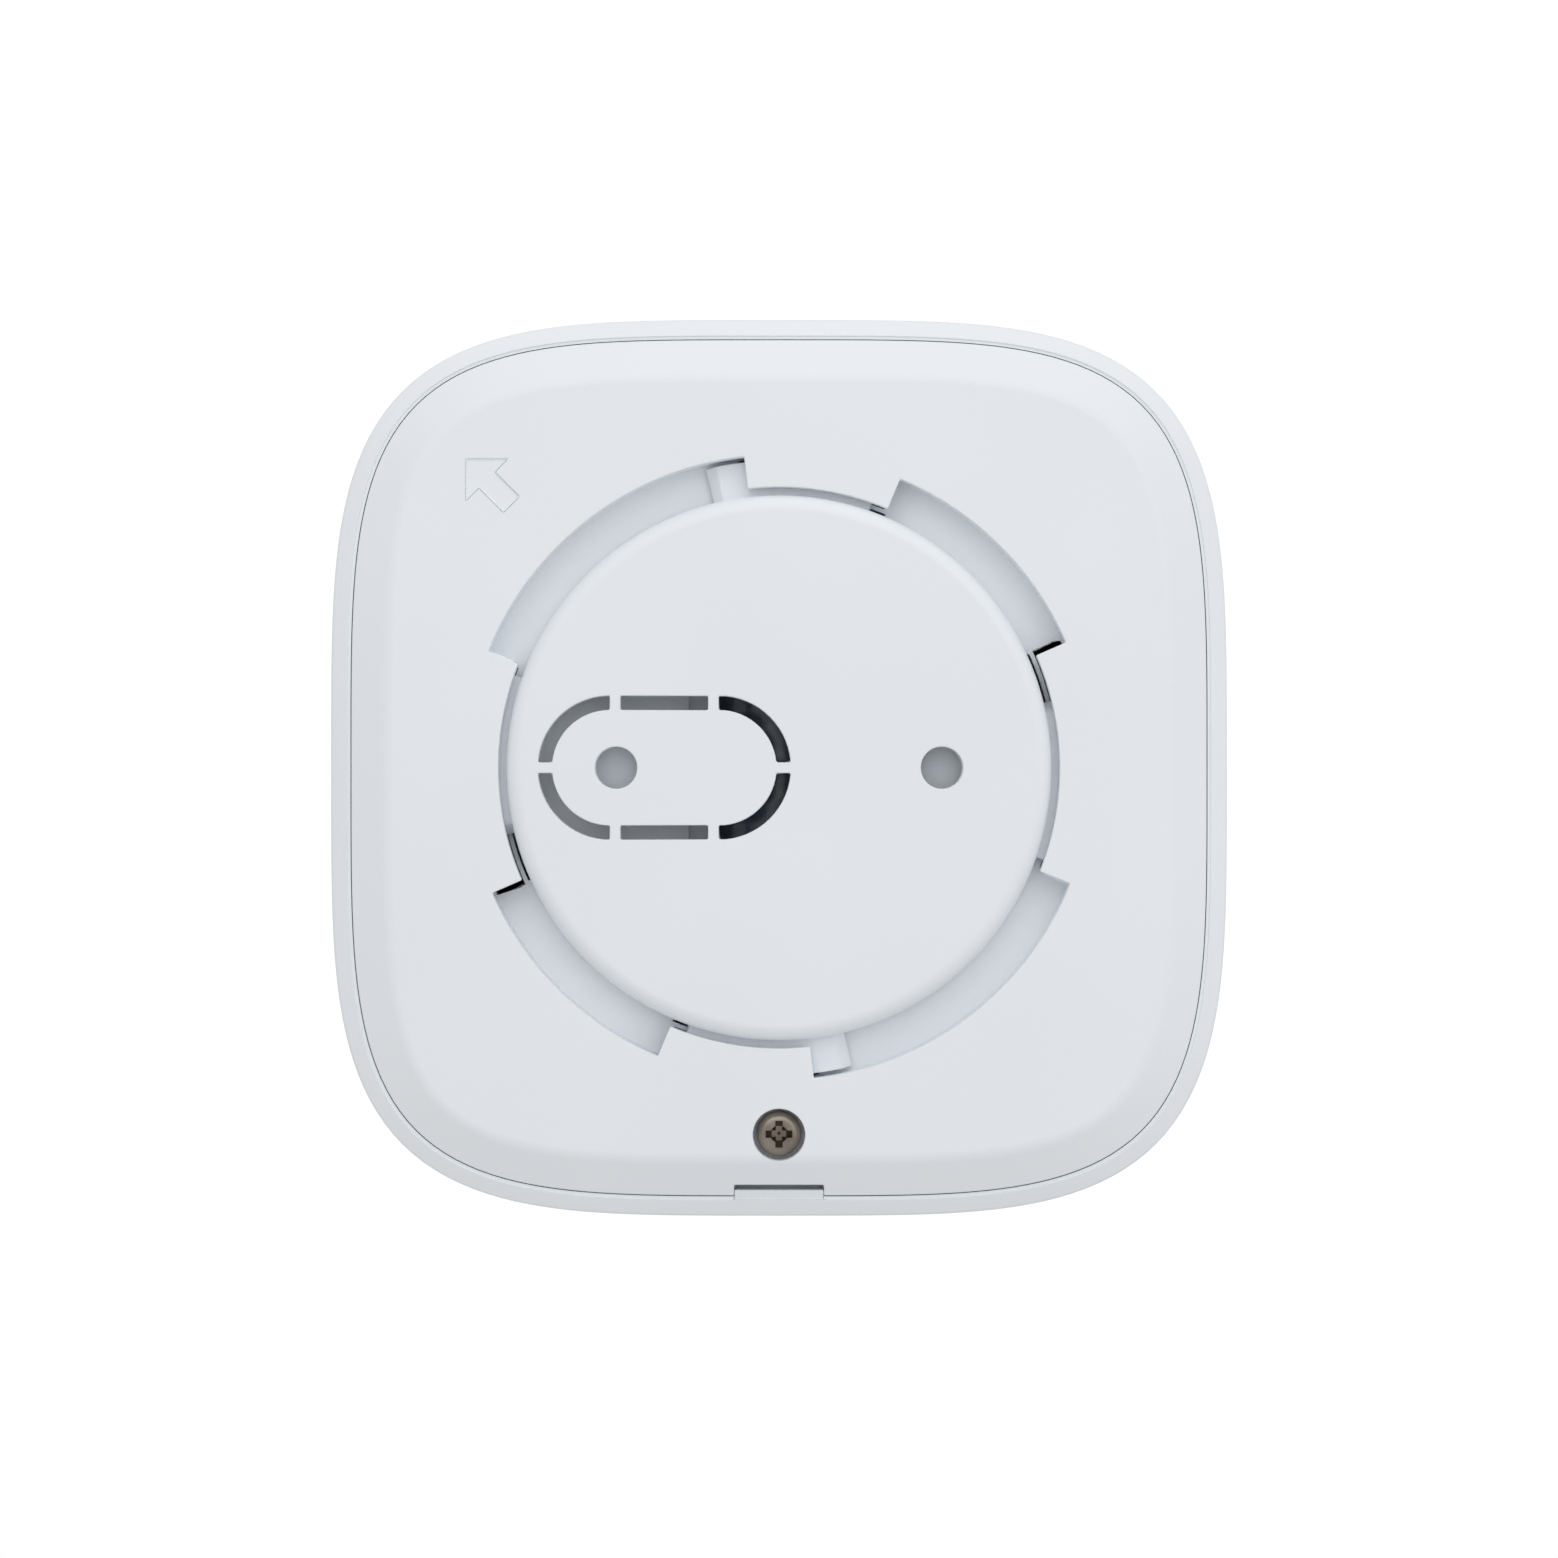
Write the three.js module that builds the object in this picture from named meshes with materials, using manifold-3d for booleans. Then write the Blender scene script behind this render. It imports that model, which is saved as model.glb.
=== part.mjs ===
// Ceiling smoke alarm with a twist-off mounting bracket, as a three.js scene graph.
// Millimetres, +Z up. Z is 0 at the ceiling, where the bracket's face lies, and the alarm hangs below.
// X and Y are 0 on the bracket's turning axis. Levels are heights on Z, so most of them are negative.

import * as THREE from 'three';
import { mergeVertices } from 'three/addons/utils/BufferGeometryUtils.js';
import Module from 'manifold-3d';

const wasm = await Module();
wasm.setup();

// ---------------------------------------------------------------- driving dimensions

// Overall size and outline
const bodyHalfWidth = 44.1;
const chamberRoom = 9.9;
const outlinePower = 4;
const outlineSides = 64;
const roundSides = 48;
const smallSides = 12;
const slotEndSides = 3;
const knockoutEndSides = 8;
const edgeSteps = 4;

// Clearances
const fitGap = 0.3;
const seamGap = 0.3;
const buttonGap = 0.4;
const bondGap = 0.12;

// Rear housing
const bracketProud = 0.7;
const shoulderRun = 3.45;
const shoulderSlope = 28;
const shoulderBlend = 0.6;
const backWall = 2.0;
const skirtWall = 1.5;
const skirtLength = 11;
const boardPostRadius = 3.0;
const boardPostEdgeX = 13.1;
const boardPostEdgeY = 17.1;

// Front cover
const rimWall = 1.7;
const rimRound = 0.5;
const coverWall = 2.2;
const frontWall = 2.2;
const frontEdgeRound = 8;
const sideDraft = 0.6;

// Bayonet between bracket and housing
const bracketRadius = 26.7;
const bracketPlate = 2.0;
const bracketSkirt = 1.5;
const bracketFillet = 1.6;
const lipGap = 0.75;
const lipThickness = 1.6;
const tabThickness = 1.5;
const tabReach = 3.5;
const pocketGap = 0.4;
const tabHalfAngle = 15.5;
const tabFirstAngle = -3.7;
const tabTurn = 90;
const pocketRanges = [[23.6, 67.2], [96.4, 158.3], [203.6, 247.2], [276.4, 338.3]];
const stopWidthAngle = 1.8;
const recessFloor = 1.8;
const recessWall = 1.8;
const windowInset = 0.6;
const windowOverrunAngle = 1.0;

// Bracket holes
const screwHoleRadius = 2.05;
const screwHoleSpacing = 31.8;
const screwBossWall = 2.0;
const screwBossHeight = 1.0;
const knockoutLength = 24.7;
const knockoutWidth = 14.05;
const knockoutSlot = 1.38;
const knockoutBridge = 1.05;
const knockoutX = -11.2;

// Battery and its bay
const cellRadius = 8.5;
const cellLength = 34.5;
const sleeveWall = 0.25;
const sleeveGap = 0.1;
const cellNubRadius = 3.2;
const cellNubLength = 1.0;
const bayClearance = 0.4;
const bayWall = 1.2;
const contactRoom = 2.3;
const contactStrip = 0.4;
const contactWidth = 9;
const contactLegWidth = 3;

// Circuit board
const boardThickness = 1.6;
const boardInset = 5.3;
const solderRoom = 0.9;

// Housing screw, board screws
const housingScrewEdge = 8.2;
const housingScrewHeadRadius = 2.25;
const housingScrewHeadHeight = 1.6;
const housingScrewShankRadius = 1.25;
const housingScrewLength = 19;
const housingScrewSink = 1.0;
const screwBossRadius = 4.2;
const coverPostRadius = 3.4;
const boardScrewHeadRadius = 2.0;
const boardScrewHeadHeight = 1.5;
const boardScrewShankRadius = 1.0;
const boardScrewLength = 8;
const crossSlotWidth = 0.7;
const crossSlotSpan = 0.62;

// Pry slot and direction mark on the housing
const prySlotLength = 8.8;
const prySlotWidth = 1.2;
const prySlotDepth = 3;
const arrowEdgeX = 13.5;
const arrowEdgeY = 13.9;
const arrowHead = 4.1;
const arrowShaftWidth = 2.2;
const arrowShaftLength = 3.4;
const arrowDepth = 0.2;

// Snap hooks
const hookWidth = 7;
const hookHeight = 1.8;
const hookDepth = 1.1;
const hookDrop = 6.5;

// Test button and its switch
const buttonSpacing = 1.0;
const buttonRadius = 6.5;
const buttonSink = 0.3;
const buttonFlange = 1.7;
const buttonFlangeHeight = 1.2;
const buttonStemRadius = 2.0;
const buttonTravel = 0.6;
const switchSize = 6.2;
const switchHeight = 3.5;
const plungerRadius = 1.7;
const plungerRise = 1.3;
const plungerBlind = 1.0;

// Status light
const lightSpacing = 2.5;
const lightRadius = 1.5;
const lightCollar = 0.8;
const lightCollarHeight = 1.2;
const ledRadius = 1.5;
const ledHeight = 2.4;

// Optical chamber
const chamberRadius = 18.4;
const chamberBasePlate = 1.4;
const screenWall = 0.3;
const vaneCount = 16;
const vaneThickness = 0.8;
const vaneLength = 4.6;
const vaneLean = 52;
const vaneOverlap = 0.5;
const labyrinthPlate = 1.1;
const holderInner = 5.2;
const holderSpacing = 2.3;
const holderWidth = 5.4;
const opticHeadroom = 1.3;
const emitterRadius = 1.5;
const emitterLength = 4.2;
const emitterAngle = 205;
const receiverAngle = 335;
const leadSize = 0.5;
const leadSpacing = 1.27;
const inletCount = 28;
const inletMargin = 1.4;
const inletLength = 5.5;
const inletWidth = 1.5;

// Sounder
const sounderSpacing = 0.9;
const sounderRadius = 12.6;
const sounderWall = 1.0;
const sounderFront = 1.2;
const sounderHoleRadius = 3;
const sounderLedge = 1.1;
const sounderBackRoom = 3;
const discThickness = 0.3;
const ceramicRadius = 8.5;
const ceramicThickness = 0.3;
const retainerHeight = 1.1;
const retainerWidth = 1.6;
const leadRadius = 0.5;
const leadRun = 6;
const grilleRadius = 8;
const grilleSlots = 5;
const grillePitch = 3.2;
const grilleSlotWidth = 1.6;

// Other parts on the board
const chipSize = 7;
const chipHeight = 1.1;
const chipSpacing = 4.1;
const chipY = 6;
const inductorRadius = 4;
const inductorCoreRadius = 2.4;
const inductorHeight = 6.5;
const inductorFlange = 1.2;
const inductorSpacing = 4.6;
const inductorY = -9;
const capacitorRadius = 3.15;
const capacitorHeight = 6.2;
const capacitorX = 19.5;
const capacitorSpacing = 2.4;

// ---------------------------------------------------------------- levels worked out from them

const backLevel = -bracketProud;
const lipUnderLevel = backLevel - lipThickness;
const tabTopLevel = lipUnderLevel - fitGap;
const tabUnderLevel = tabTopLevel - tabThickness;
const recessLevel = tabUnderLevel - fitGap;
const recessUnderLevel = recessLevel - recessFloor;
const skirtLevel = backLevel - skirtLength;
const cellLevel = recessLevel - bayClearance - cellRadius;
const bayFloorLevel = cellLevel - cellRadius - bayClearance;
const bayUnderLevel = bayFloorLevel - bayWall;
const boardBackLevel = bayUnderLevel - solderRoom;
const boardFrontLevel = boardBackLevel - boardThickness;
const frontInnerLevel = boardFrontLevel - chamberRoom;
const frontLevel = frontInnerLevel - frontWall;
const screenLevel = frontInnerLevel + fitGap;
const housingScrewSeat = backLevel - housingScrewSink - housingScrewHeadHeight;

const housingInset = rimWall + seamGap;
const flatInset = housingInset + shoulderRun;
const shoulderLevel = slopeLevel(housingInset);
const rimLevel = slopeLevel(rimWall);
const lipRadius = bracketRadius + lipGap;
const tabRadius = bracketRadius + tabReach;
const pocketRadius = tabRadius + pocketGap;
const bayHalfLength = cellLength / 2 + contactRoom;
const bayRadius = cellRadius + bayClearance;
const postLevel = skirtLevel - fitGap;
const housingScrewY = housingScrewEdge - bodyHalfWidth;
const boardPostX = bodyHalfWidth - boardPostEdgeX;
const boardPostY = bodyHalfWidth - boardPostEdgeY;
const arrowX = arrowEdgeX - bodyHalfWidth;
const arrowY = bodyHalfWidth - arrowEdgeY;

// Round the chamber: the inlets over it, and the button, light, sounder and board parts beside it.
const labyrinthRadius = chamberRadius - screenWall - 2 * fitGap;
const vaneRadius = labyrinthRadius - vaneLength / 2 + vaneOverlap;
const vaneInner = vaneRadius - (vaneLength / 2) * Math.cos(THREE.MathUtils.degToRad(vaneLean));
const labyrinthLevel = screenLevel + screenWall + fitGap;
const chamberFloorLevel = boardFrontLevel - fitGap - chamberBasePlate;
const holderOuter = vaneInner - holderSpacing;
const holderHeight = chamberFloorLevel - labyrinthLevel - labyrinthPlate - opticHeadroom;
const inletOuter = chamberRadius - inletMargin;
const inletInner = inletOuter - inletLength;
const buttonY = chamberRadius + buttonSpacing + buttonRadius + buttonFlange;
const lightX = buttonRadius + buttonFlange + lightSpacing + lightRadius + lightCollar;
const sounderPlace = -(chamberRadius + sounderSpacing + sounderRadius) / Math.SQRT2;
const chipX = chamberRadius + chipSpacing + chipSize / 2;
const inductorX = chamberRadius + inductorSpacing + inductorRadius;
const capacitorY = -(chamberRadius + capacitorSpacing + capacitorRadius);
const deep = -frontLevel * 2;

// The shoulder of the housing and the rim of the cover lie on one slope round the flat back.
function slopeLevel(inset) {
  return backLevel - (flatInset - inset) * Math.tan(THREE.MathUtils.degToRad(shoulderSlope));
}

// ---------------------------------------------------------------- materials

function finish(colour, roughness, metalness) {
  return new THREE.MeshStandardMaterial({ color: colour, roughness: roughness, metalness: metalness });
}

const whitePlastic = finish(0xe6e9eb, 0.5, 0);
const whiteButton = finish(0xdfe3e6, 0.45, 0);
const blackPlastic = finish(0x17181a, 0.6, 0);
const clearPlastic = finish(0xdfe8ea, 0.15, 0);
const redPlastic = finish(0xa3161b, 0.5, 0);
const boardGreen = finish(0x1f5a38, 0.45, 0);
const chipBlack = finish(0x202124, 0.55, 0);
const ferrite = finish(0x3a3836, 0.7, 0);
const steel = finish(0xb3b4b4, 0.35, 1);
const nickel = finish(0x9c9488, 0.4, 1);
const brass = finish(0xc6a552, 0.35, 1);
const ceramic = finish(0xd9d4c6, 0.6, 0);
const sleevePlastic = finish(0x2b3440, 0.4, 0);
const screenSteel = finish(0x6f7274, 0.45, 1);

// ---------------------------------------------------------------- solids and booleans

function toSolid(geometry) {
  const bare = geometry.clone();
  bare.deleteAttribute('normal');
  bare.deleteAttribute('uv');
  const merged = mergeVertices(bare, 1e-4);
  const vertProperties = Float32Array.from(merged.attributes.position.array);
  const triVerts = Uint32Array.from(merged.index.array);
  return new wasm.Manifold(new wasm.Mesh({ numProp: 3, vertProperties, triVerts }));
}

function toGeometry(solid) {
  const mesh = solid.getMesh();
  const geometry = new THREE.BufferGeometry();
  geometry.setAttribute('position', new THREE.BufferAttribute(mesh.vertProperties, 3));
  geometry.setIndex(new THREE.BufferAttribute(mesh.triVerts, 1));
  geometry.computeVertexNormals();
  return geometry;
}

function join(...geometries) {
  let solid = toSolid(geometries[0]);
  for (const geometry of geometries.slice(1)) {
    solid = solid.add(toSolid(geometry));
  }
  return toGeometry(solid);
}

function cut(geometry, ...tools) {
  let solid = toSolid(geometry);
  for (const tool of tools) {
    solid = solid.subtract(toSolid(tool));
  }
  return toGeometry(solid);
}

function moved(geometry, x, y, z) {
  return geometry.translate(x, y, z);
}

function turned(geometry, degrees) {
  return geometry.rotateZ(THREE.MathUtils.degToRad(degrees));
}

// ---------------------------------------------------------------- basic shapes

// A box between two heights, centred on x and y.
function box(width, length, low, high, x = 0, y = 0) {
  const geometry = new THREE.BoxGeometry(width, length, high - low);
  return moved(geometry, x, y, (low + high) / 2);
}

// An upright cylinder between two heights.
function cylinder(radius, low, high, x = 0, y = 0, sides = smallSides) {
  const geometry = new THREE.CylinderGeometry(radius, radius, high - low, sides);
  geometry.rotateX(Math.PI / 2);
  return moved(geometry, x, y, (low + high) / 2);
}

// A body of revolution about Z. The profile is [radius, height] pairs, anticlockwise.
function turnedBody(profile, sides = smallSides) {
  const points = profile.map((pair) => new THREE.Vector2(pair[0], pair[1]));
  return new THREE.LatheGeometry(points, sides).rotateX(Math.PI / 2);
}

function extruded(shape, low, high, curveSegments = smallSides / 2) {
  const options = { depth: high - low, bevelEnabled: false, curveSegments: curveSegments };
  return moved(new THREE.ExtrudeGeometry(shape, options), 0, 0, low);
}

// A piece of a flat ring, between two radii and two angles in degrees.
function sector(inner, outer, from, to, low, high) {
  const start = THREE.MathUtils.degToRad(from);
  const end = THREE.MathUtils.degToRad(to);
  const shape = new THREE.Shape();
  shape.absarc(0, 0, outer, start, end, false);
  shape.absarc(0, 0, inner, end, start, true);
  const segments = Math.ceil(((to - from) / 360) * roundSides);
  return extruded(shape, low, high, segments);
}

// An upright slot with round ends, its long side along X.
function obround(length, width, low, high, endSides = slotEndSides) {
  const radius = width / 2;
  const reach = length / 2 - radius;
  const shape = new THREE.Shape();
  shape.absarc(reach, 0, radius, -Math.PI / 2, Math.PI / 2, false);
  shape.absarc(-reach, 0, radius, Math.PI / 2, (Math.PI * 3) / 2, false);
  return extruded(shape, low, high, endSides);
}

// A point on the body's outline, a superellipse, moved inwards at right angles to it.
function outlinePoint(angle, inset) {
  const c = Math.cos(angle);
  const s = Math.sin(angle);
  const spread = Math.abs(c) ** outlinePower + Math.abs(s) ** outlinePower;
  const reach = bodyHalfWidth / spread ** (1 / outlinePower);
  const slopeX = Math.sign(c) * Math.abs(c) ** (outlinePower - 1);
  const slopeY = Math.sign(s) * Math.abs(s) ** (outlinePower - 1);
  const slope = Math.hypot(slopeX, slopeY);
  return [reach * c - (inset * slopeX) / slope, reach * s - (inset * slopeY) / slope];
}

// A solid whose section at each level is the body's outline with that level's inset.
// The levels are [inset, height] pairs, from the lowest to the highest.
function outlineBody(levels) {
  const positions = [];
  const triangles = [];
  for (const [inset, height] of levels) {
    for (let i = 0; i < outlineSides; i += 1) {
      const [x, y] = outlinePoint((i / outlineSides) * Math.PI * 2, inset);
      positions.push(x, y, height);
    }
  }
  for (let ring = 0; ring < levels.length - 1; ring += 1) {
    for (let i = 0; i < outlineSides; i += 1) {
      const a = ring * outlineSides + i;
      const b = ring * outlineSides + ((i + 1) % outlineSides);
      triangles.push(a, b, b + outlineSides);
      triangles.push(a, b + outlineSides, a + outlineSides);
    }
  }
  const lowCentre = positions.length / 3;
  const highCentre = lowCentre + 1;
  const lastRing = (levels.length - 1) * outlineSides;
  positions.push(0, 0, levels[0][1]);
  positions.push(0, 0, levels[levels.length - 1][1]);
  for (let i = 0; i < outlineSides; i += 1) {
    const next = (i + 1) % outlineSides;
    triangles.push(lowCentre, next, i);
    triangles.push(highCentre, lastRing + i, lastRing + next);
  }
  const geometry = new THREE.BufferGeometry();
  geometry.setAttribute('position', new THREE.Float32BufferAttribute(positions, 3));
  geometry.setIndex(triangles);
  return geometry;
}

// Points of a quarter of an ellipse about [centreX, centreY], between two angles in degrees.
function arc(centreX, centreY, radiusX, radiusY, from, to, steps) {
  const points = [];
  for (let i = 0; i <= steps; i += 1) {
    const angle = THREE.MathUtils.degToRad(from + ((to - from) * i) / steps);
    points.push([centreX + radiusX * Math.cos(angle), centreY + radiusY * Math.sin(angle)]);
  }
  return points;
}

// ---------------------------------------------------------------- mounting bracket

function tabAngles() {
  return [0, 1, 2, 3].map((i) => tabFirstAngle + i * tabTurn);
}

function knockoutCut() {
  const low = -deep;
  const outer = obround(knockoutLength, knockoutWidth, low, deep, knockoutEndSides);
  const innerLength = knockoutLength - 2 * knockoutSlot;
  const innerWidth = knockoutWidth - 2 * knockoutSlot;
  const inner = obround(innerLength, innerWidth, low - 1, deep + 1, knockoutEndSides);
  const straight = (knockoutLength - knockoutWidth - knockoutBridge) / 2;
  const bridges = [
    box(knockoutLength + 2, knockoutBridge, low - 1, deep + 1),
    box(knockoutBridge, knockoutWidth + 2, low - 1, deep + 1, straight, 0),
    box(knockoutBridge, knockoutWidth + 2, low - 1, deep + 1, -straight, 0),
  ];
  return moved(cut(outer, inner, ...bridges), knockoutX, 0, 0);
}

function mountingBracket() {
  const innerRadius = bracketRadius - bracketSkirt;
  const filletX = bracketRadius - bracketFillet;
  const fillet = arc(filletX, -bracketFillet, bracketFillet, bracketFillet, 0, 90, edgeSteps);
  const profile = [
    [0, -bracketPlate],
    [innerRadius, -bracketPlate],
    [innerRadius, tabUnderLevel],
    [bracketRadius, tabUnderLevel],
    ...fillet,
    [0, 0],
  ];
  const disc = turnedBody(profile, roundSides);
  const bosses = [];
  const holes = [];
  for (const side of [-1, 1]) {
    const x = (side * screwHoleSpacing) / 2;
    const bossRadius = screwHoleRadius + screwBossWall;
    bosses.push(cylinder(bossRadius, -bracketPlate - screwBossHeight, -bracketPlate / 2, x));
    holes.push(cylinder(screwHoleRadius, -deep, deep, x));
  }
  const tabs = tabAngles().map((angle) => {
    const root = bracketRadius - bracketSkirt / 2;
    return sector(root, tabRadius, angle - tabHalfAngle, angle + tabHalfAngle, tabUnderLevel, tabTopLevel);
  });
  return cut(join(disc, ...tabs, ...bosses), ...holes, knockoutCut());
}

// ---------------------------------------------------------------- rear housing

// The lips stand between the pockets and hold the bracket's tabs down.
function lipRanges() {
  return pocketRanges.map((pocket, i) => {
    const next = pocketRanges[(i + 1) % pocketRanges.length][0];
    return [pocket[1], next > pocket[1] ? next : next + 360];
  });
}

function recessCuts() {
  const open = cylinder(lipRadius, recessLevel, deep, 0, 0, roundSides);
  const groove = cylinder(pocketRadius, recessLevel, lipUnderLevel, 0, 0, roundSides);
  const pockets = pocketRanges.map(([from, to]) => sector(1, pocketRadius, from, to, recessLevel, deep));
  const windows = lipRanges().map(([from, to]) => {
    const inner = bracketRadius - windowInset;
    return sector(inner, pocketRadius, from, to + windowOverrunAngle, -deep, recessLevel + fitGap);
  });
  return [open, groove, ...pockets, ...windows];
}

// Each stop hangs under a lip, just past the tab's end in the locked position.
function bayonetStops() {
  const locked = [tabFirstAngle, tabFirstAngle + 2 * tabTurn];
  return locked.map((angle) => {
    const end = angle - tabHalfAngle - stopWidthAngle / 2;
    const from = end - stopWidthAngle;
    const high = backLevel - fitGap;
    return sector(lipRadius + lipGap, pocketRadius + fitGap, from, end, recessUnderLevel, high);
  });
}

// The bay's section is a U, run along Y.
function bayTrough(radius, halfLength, high) {
  const shape = new THREE.Shape();
  shape.moveTo(-radius, high - cellLevel);
  shape.lineTo(-radius, 0);
  shape.absarc(0, 0, radius, Math.PI, Math.PI * 2, false);
  shape.lineTo(radius, high - cellLevel);
  const options = { depth: halfLength * 2, bevelEnabled: false, curveSegments: smallSides / 2 };
  const trough = new THREE.ExtrudeGeometry(shape, options);
  trough.rotateX(Math.PI / 2);
  return moved(trough, 0, halfLength, cellLevel);
}

function boardPosts() {
  return [[-boardPostX, boardPostY], [boardPostX, boardPostY], [boardPostX, -boardPostY]];
}

function hookPlaces() {
  const reach = bodyHalfWidth - rimWall;
  return [[0, reach, 0], [-reach, 0, 90], [reach, 0, 90]];
}

// A fat arrow, sunk into the back, that points to the corner opposite the housing's centre.
function directionArrow() {
  const half = (arrowShaftWidth / 2) * Math.SQRT1_2;
  const run = arrowShaftLength * Math.SQRT1_2;
  const neck = arrowHead / 2;
  const shape = new THREE.Shape();
  shape.moveTo(0, 0);
  shape.lineTo(0, -arrowHead);
  shape.lineTo(neck - half, -neck - half);
  shape.lineTo(neck - half + run, -neck - half - run);
  shape.lineTo(neck + half + run, -neck + half - run);
  shape.lineTo(neck + half, -neck + half);
  shape.lineTo(arrowHead, 0);
  const mark = extruded(shape, backLevel - arrowDepth, backLevel + fitGap);
  return moved(mark, arrowX, arrowY, 0);
}

function rearHousing() {
  const blendLow = slopeLevel(flatInset - shoulderBlend);
  const outside = outlineBody([
    [housingInset, skirtLevel],
    [housingInset, shoulderLevel],
    [flatInset - shoulderBlend, blendLow],
    [flatInset, backLevel - (backLevel - blendLow) / 4],
    [flatInset + shoulderBlend, backLevel],
  ]);
  const innerInset = housingInset + skirtWall;
  const innerTop = backLevel - backWall;
  const inside = outlineBody([
    [innerInset, skirtLevel - 1],
    [innerInset, slopeLevel(innerInset) - backWall],
    [flatInset, innerTop],
  ]);
  const shell = cut(outside, inside);
  const cupRadius = pocketRadius + recessWall;
  const cup = cylinder(cupRadius, recessUnderLevel, backLevel - backWall / 2, 0, 0, roundSides);
  const bayTop = recessLevel - recessFloor / 2;
  const bay = bayTrough(bayRadius + bayWall, bayHalfLength + bayWall, bayTop);
  const boss = cylinder(screwBossRadius, skirtLevel, backLevel - backWall / 2, 0, housingScrewY);
  const posts = boardPosts().map(([x, y]) => {
    return cylinder(boardPostRadius, boardBackLevel + fitGap, backLevel - backWall / 2, x, y);
  });
  const body = join(shell, cup, bay, boss, ...posts);

  const bores = boardPosts().map(([x, y]) => {
    const top = boardFrontLevel + boardScrewLength + fitGap;
    return cylinder(boardScrewShankRadius + fitGap, -deep, top, x, y);
  });
  const sinkRadius = housingScrewHeadRadius + fitGap;
  const sink = cylinder(sinkRadius, housingScrewSeat - fitGap, deep, 0, housingScrewY);
  const through = cylinder(housingScrewShankRadius + fitGap, -deep, deep, 0, housingScrewY);
  const windows = hookPlaces().map(([x, y, angle]) => {
    const low = rimLevel - hookDrop - hookHeight / 2 - fitGap;
    const high = rimLevel - hookDrop + hookHeight / 2 + fitGap;
    const window = box(hookWidth + 2 * fitGap, (skirtWall + seamGap) * 3, low, high);
    return moved(turned(window, angle), x, y, 0);
  });
  const pryY = -(bodyHalfWidth - housingInset);
  const pry = box(prySlotLength, prySlotWidth * 2, shoulderLevel - prySlotDepth, deep, 0, pryY);
  const bayCut = bayTrough(bayRadius, bayHalfLength, recessLevel + fitGap);
  const legSlots = [-1, 1].map((side) => {
    const y = side * (bayHalfLength - fitGap - contactStrip / 2);
    return box(contactLegWidth + 2 * fitGap, contactStrip + 2 * fitGap, -deep, cellLevel, 0, y);
  });
  const fixings = [...bores, sink, through, ...windows, pry];
  const cuts = [...recessCuts(), bayCut, ...fixings, ...legSlots, directionArrow()];
  return join(cut(body, ...cuts), ...bayonetStops());
}

// ---------------------------------------------------------------- front cover

function inletCuts() {
  const cuts = [];
  for (let i = 0; i < inletCount; i += 1) {
    const slot = obround(inletLength, inletWidth, frontLevel - 1, frontInnerLevel + 1);
    moved(slot, (inletInner + inletOuter) / 2, 0, 0);
    cuts.push(turned(slot, (i / inletCount) * 360));
  }
  return cuts;
}

function grilleCuts() {
  const cuts = [];
  for (let i = 0; i < grilleSlots; i += 1) {
    const offset = (i - (grilleSlots - 1) / 2) * grillePitch;
    const length = 2 * Math.sqrt(grilleRadius ** 2 - offset ** 2);
    const slot = obround(length, grilleSlotWidth, frontLevel - 1, frontInnerLevel + 1);
    moved(slot, 0, offset, 0);
    turned(slot, -45);
    cuts.push(moved(slot, sounderPlace, sounderPlace, 0));
  }
  return cuts;
}

function frontCover() {
  const edgeLevel = frontLevel + frontEdgeRound;
  const edgeRun = frontEdgeRound - sideDraft;
  const edge = arc(frontEdgeRound, edgeLevel, -edgeRun, frontEdgeRound, -90, 0, edgeSteps);
  const turn = 90 - shoulderSlope;
  const turnAngle = THREE.MathUtils.degToRad(turn);
  const turnLevel = slopeLevel(rimRound * (1 - Math.cos(turnAngle)));
  const roundLevel = turnLevel - rimRound * Math.sin(turnAngle);
  const rim = arc(rimRound, roundLevel, -rimRound, rimRound, 0, turn, edgeSteps / 2);
  const outside = outlineBody([...edge, ...rim, [rimWall, rimLevel]]);
  const innerRound = frontEdgeRound - coverWall;
  const innerRun = innerRound - sideDraft;
  const innerX = coverWall + innerRound;
  const innerZ = frontInnerLevel + innerRound;
  const innerEdge = arc(innerX, innerZ, -innerRun, innerRound, -90, 0, edgeSteps / 2);
  const stepLevel = skirtLevel - fitGap;
  const inside = outlineBody([
    ...innerEdge,
    [coverWall, stepLevel - fitGap],
    [rimWall, stepLevel],
    [rimWall, rimLevel + 1],
  ]);
  const post = cylinder(coverPostRadius, frontInnerLevel - 1, postLevel, 0, housingScrewY);
  const hooks = hookPlaces().map(([x, y, angle]) => {
    const low = rimLevel - hookDrop - hookHeight / 2;
    const high = rimLevel - hookDrop + hookHeight / 2;
    const hook = box(hookWidth, hookDepth * 2, low, high);
    return moved(turned(hook, angle), x, y, 0);
  });
  const shell = cut(outside, inside);
  const boreLow = housingScrewSeat - housingScrewLength - fitGap;
  const bore = cylinder(housingScrewShankRadius + fitGap, boreLow, deep, 0, housingScrewY);
  const buttonHole = cylinder(buttonRadius + buttonGap, -deep, 0, 0, buttonY, smallSides * 2);
  const lightHole = cylinder(lightRadius + fitGap / 2, -deep, 0, lightX, buttonY);
  const cuts = [bore, buttonHole, lightHole, ...inletCuts(), ...grilleCuts()];
  return cut(join(shell, post, ...hooks), ...cuts);
}

// ---------------------------------------------------------------- screws

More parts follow.
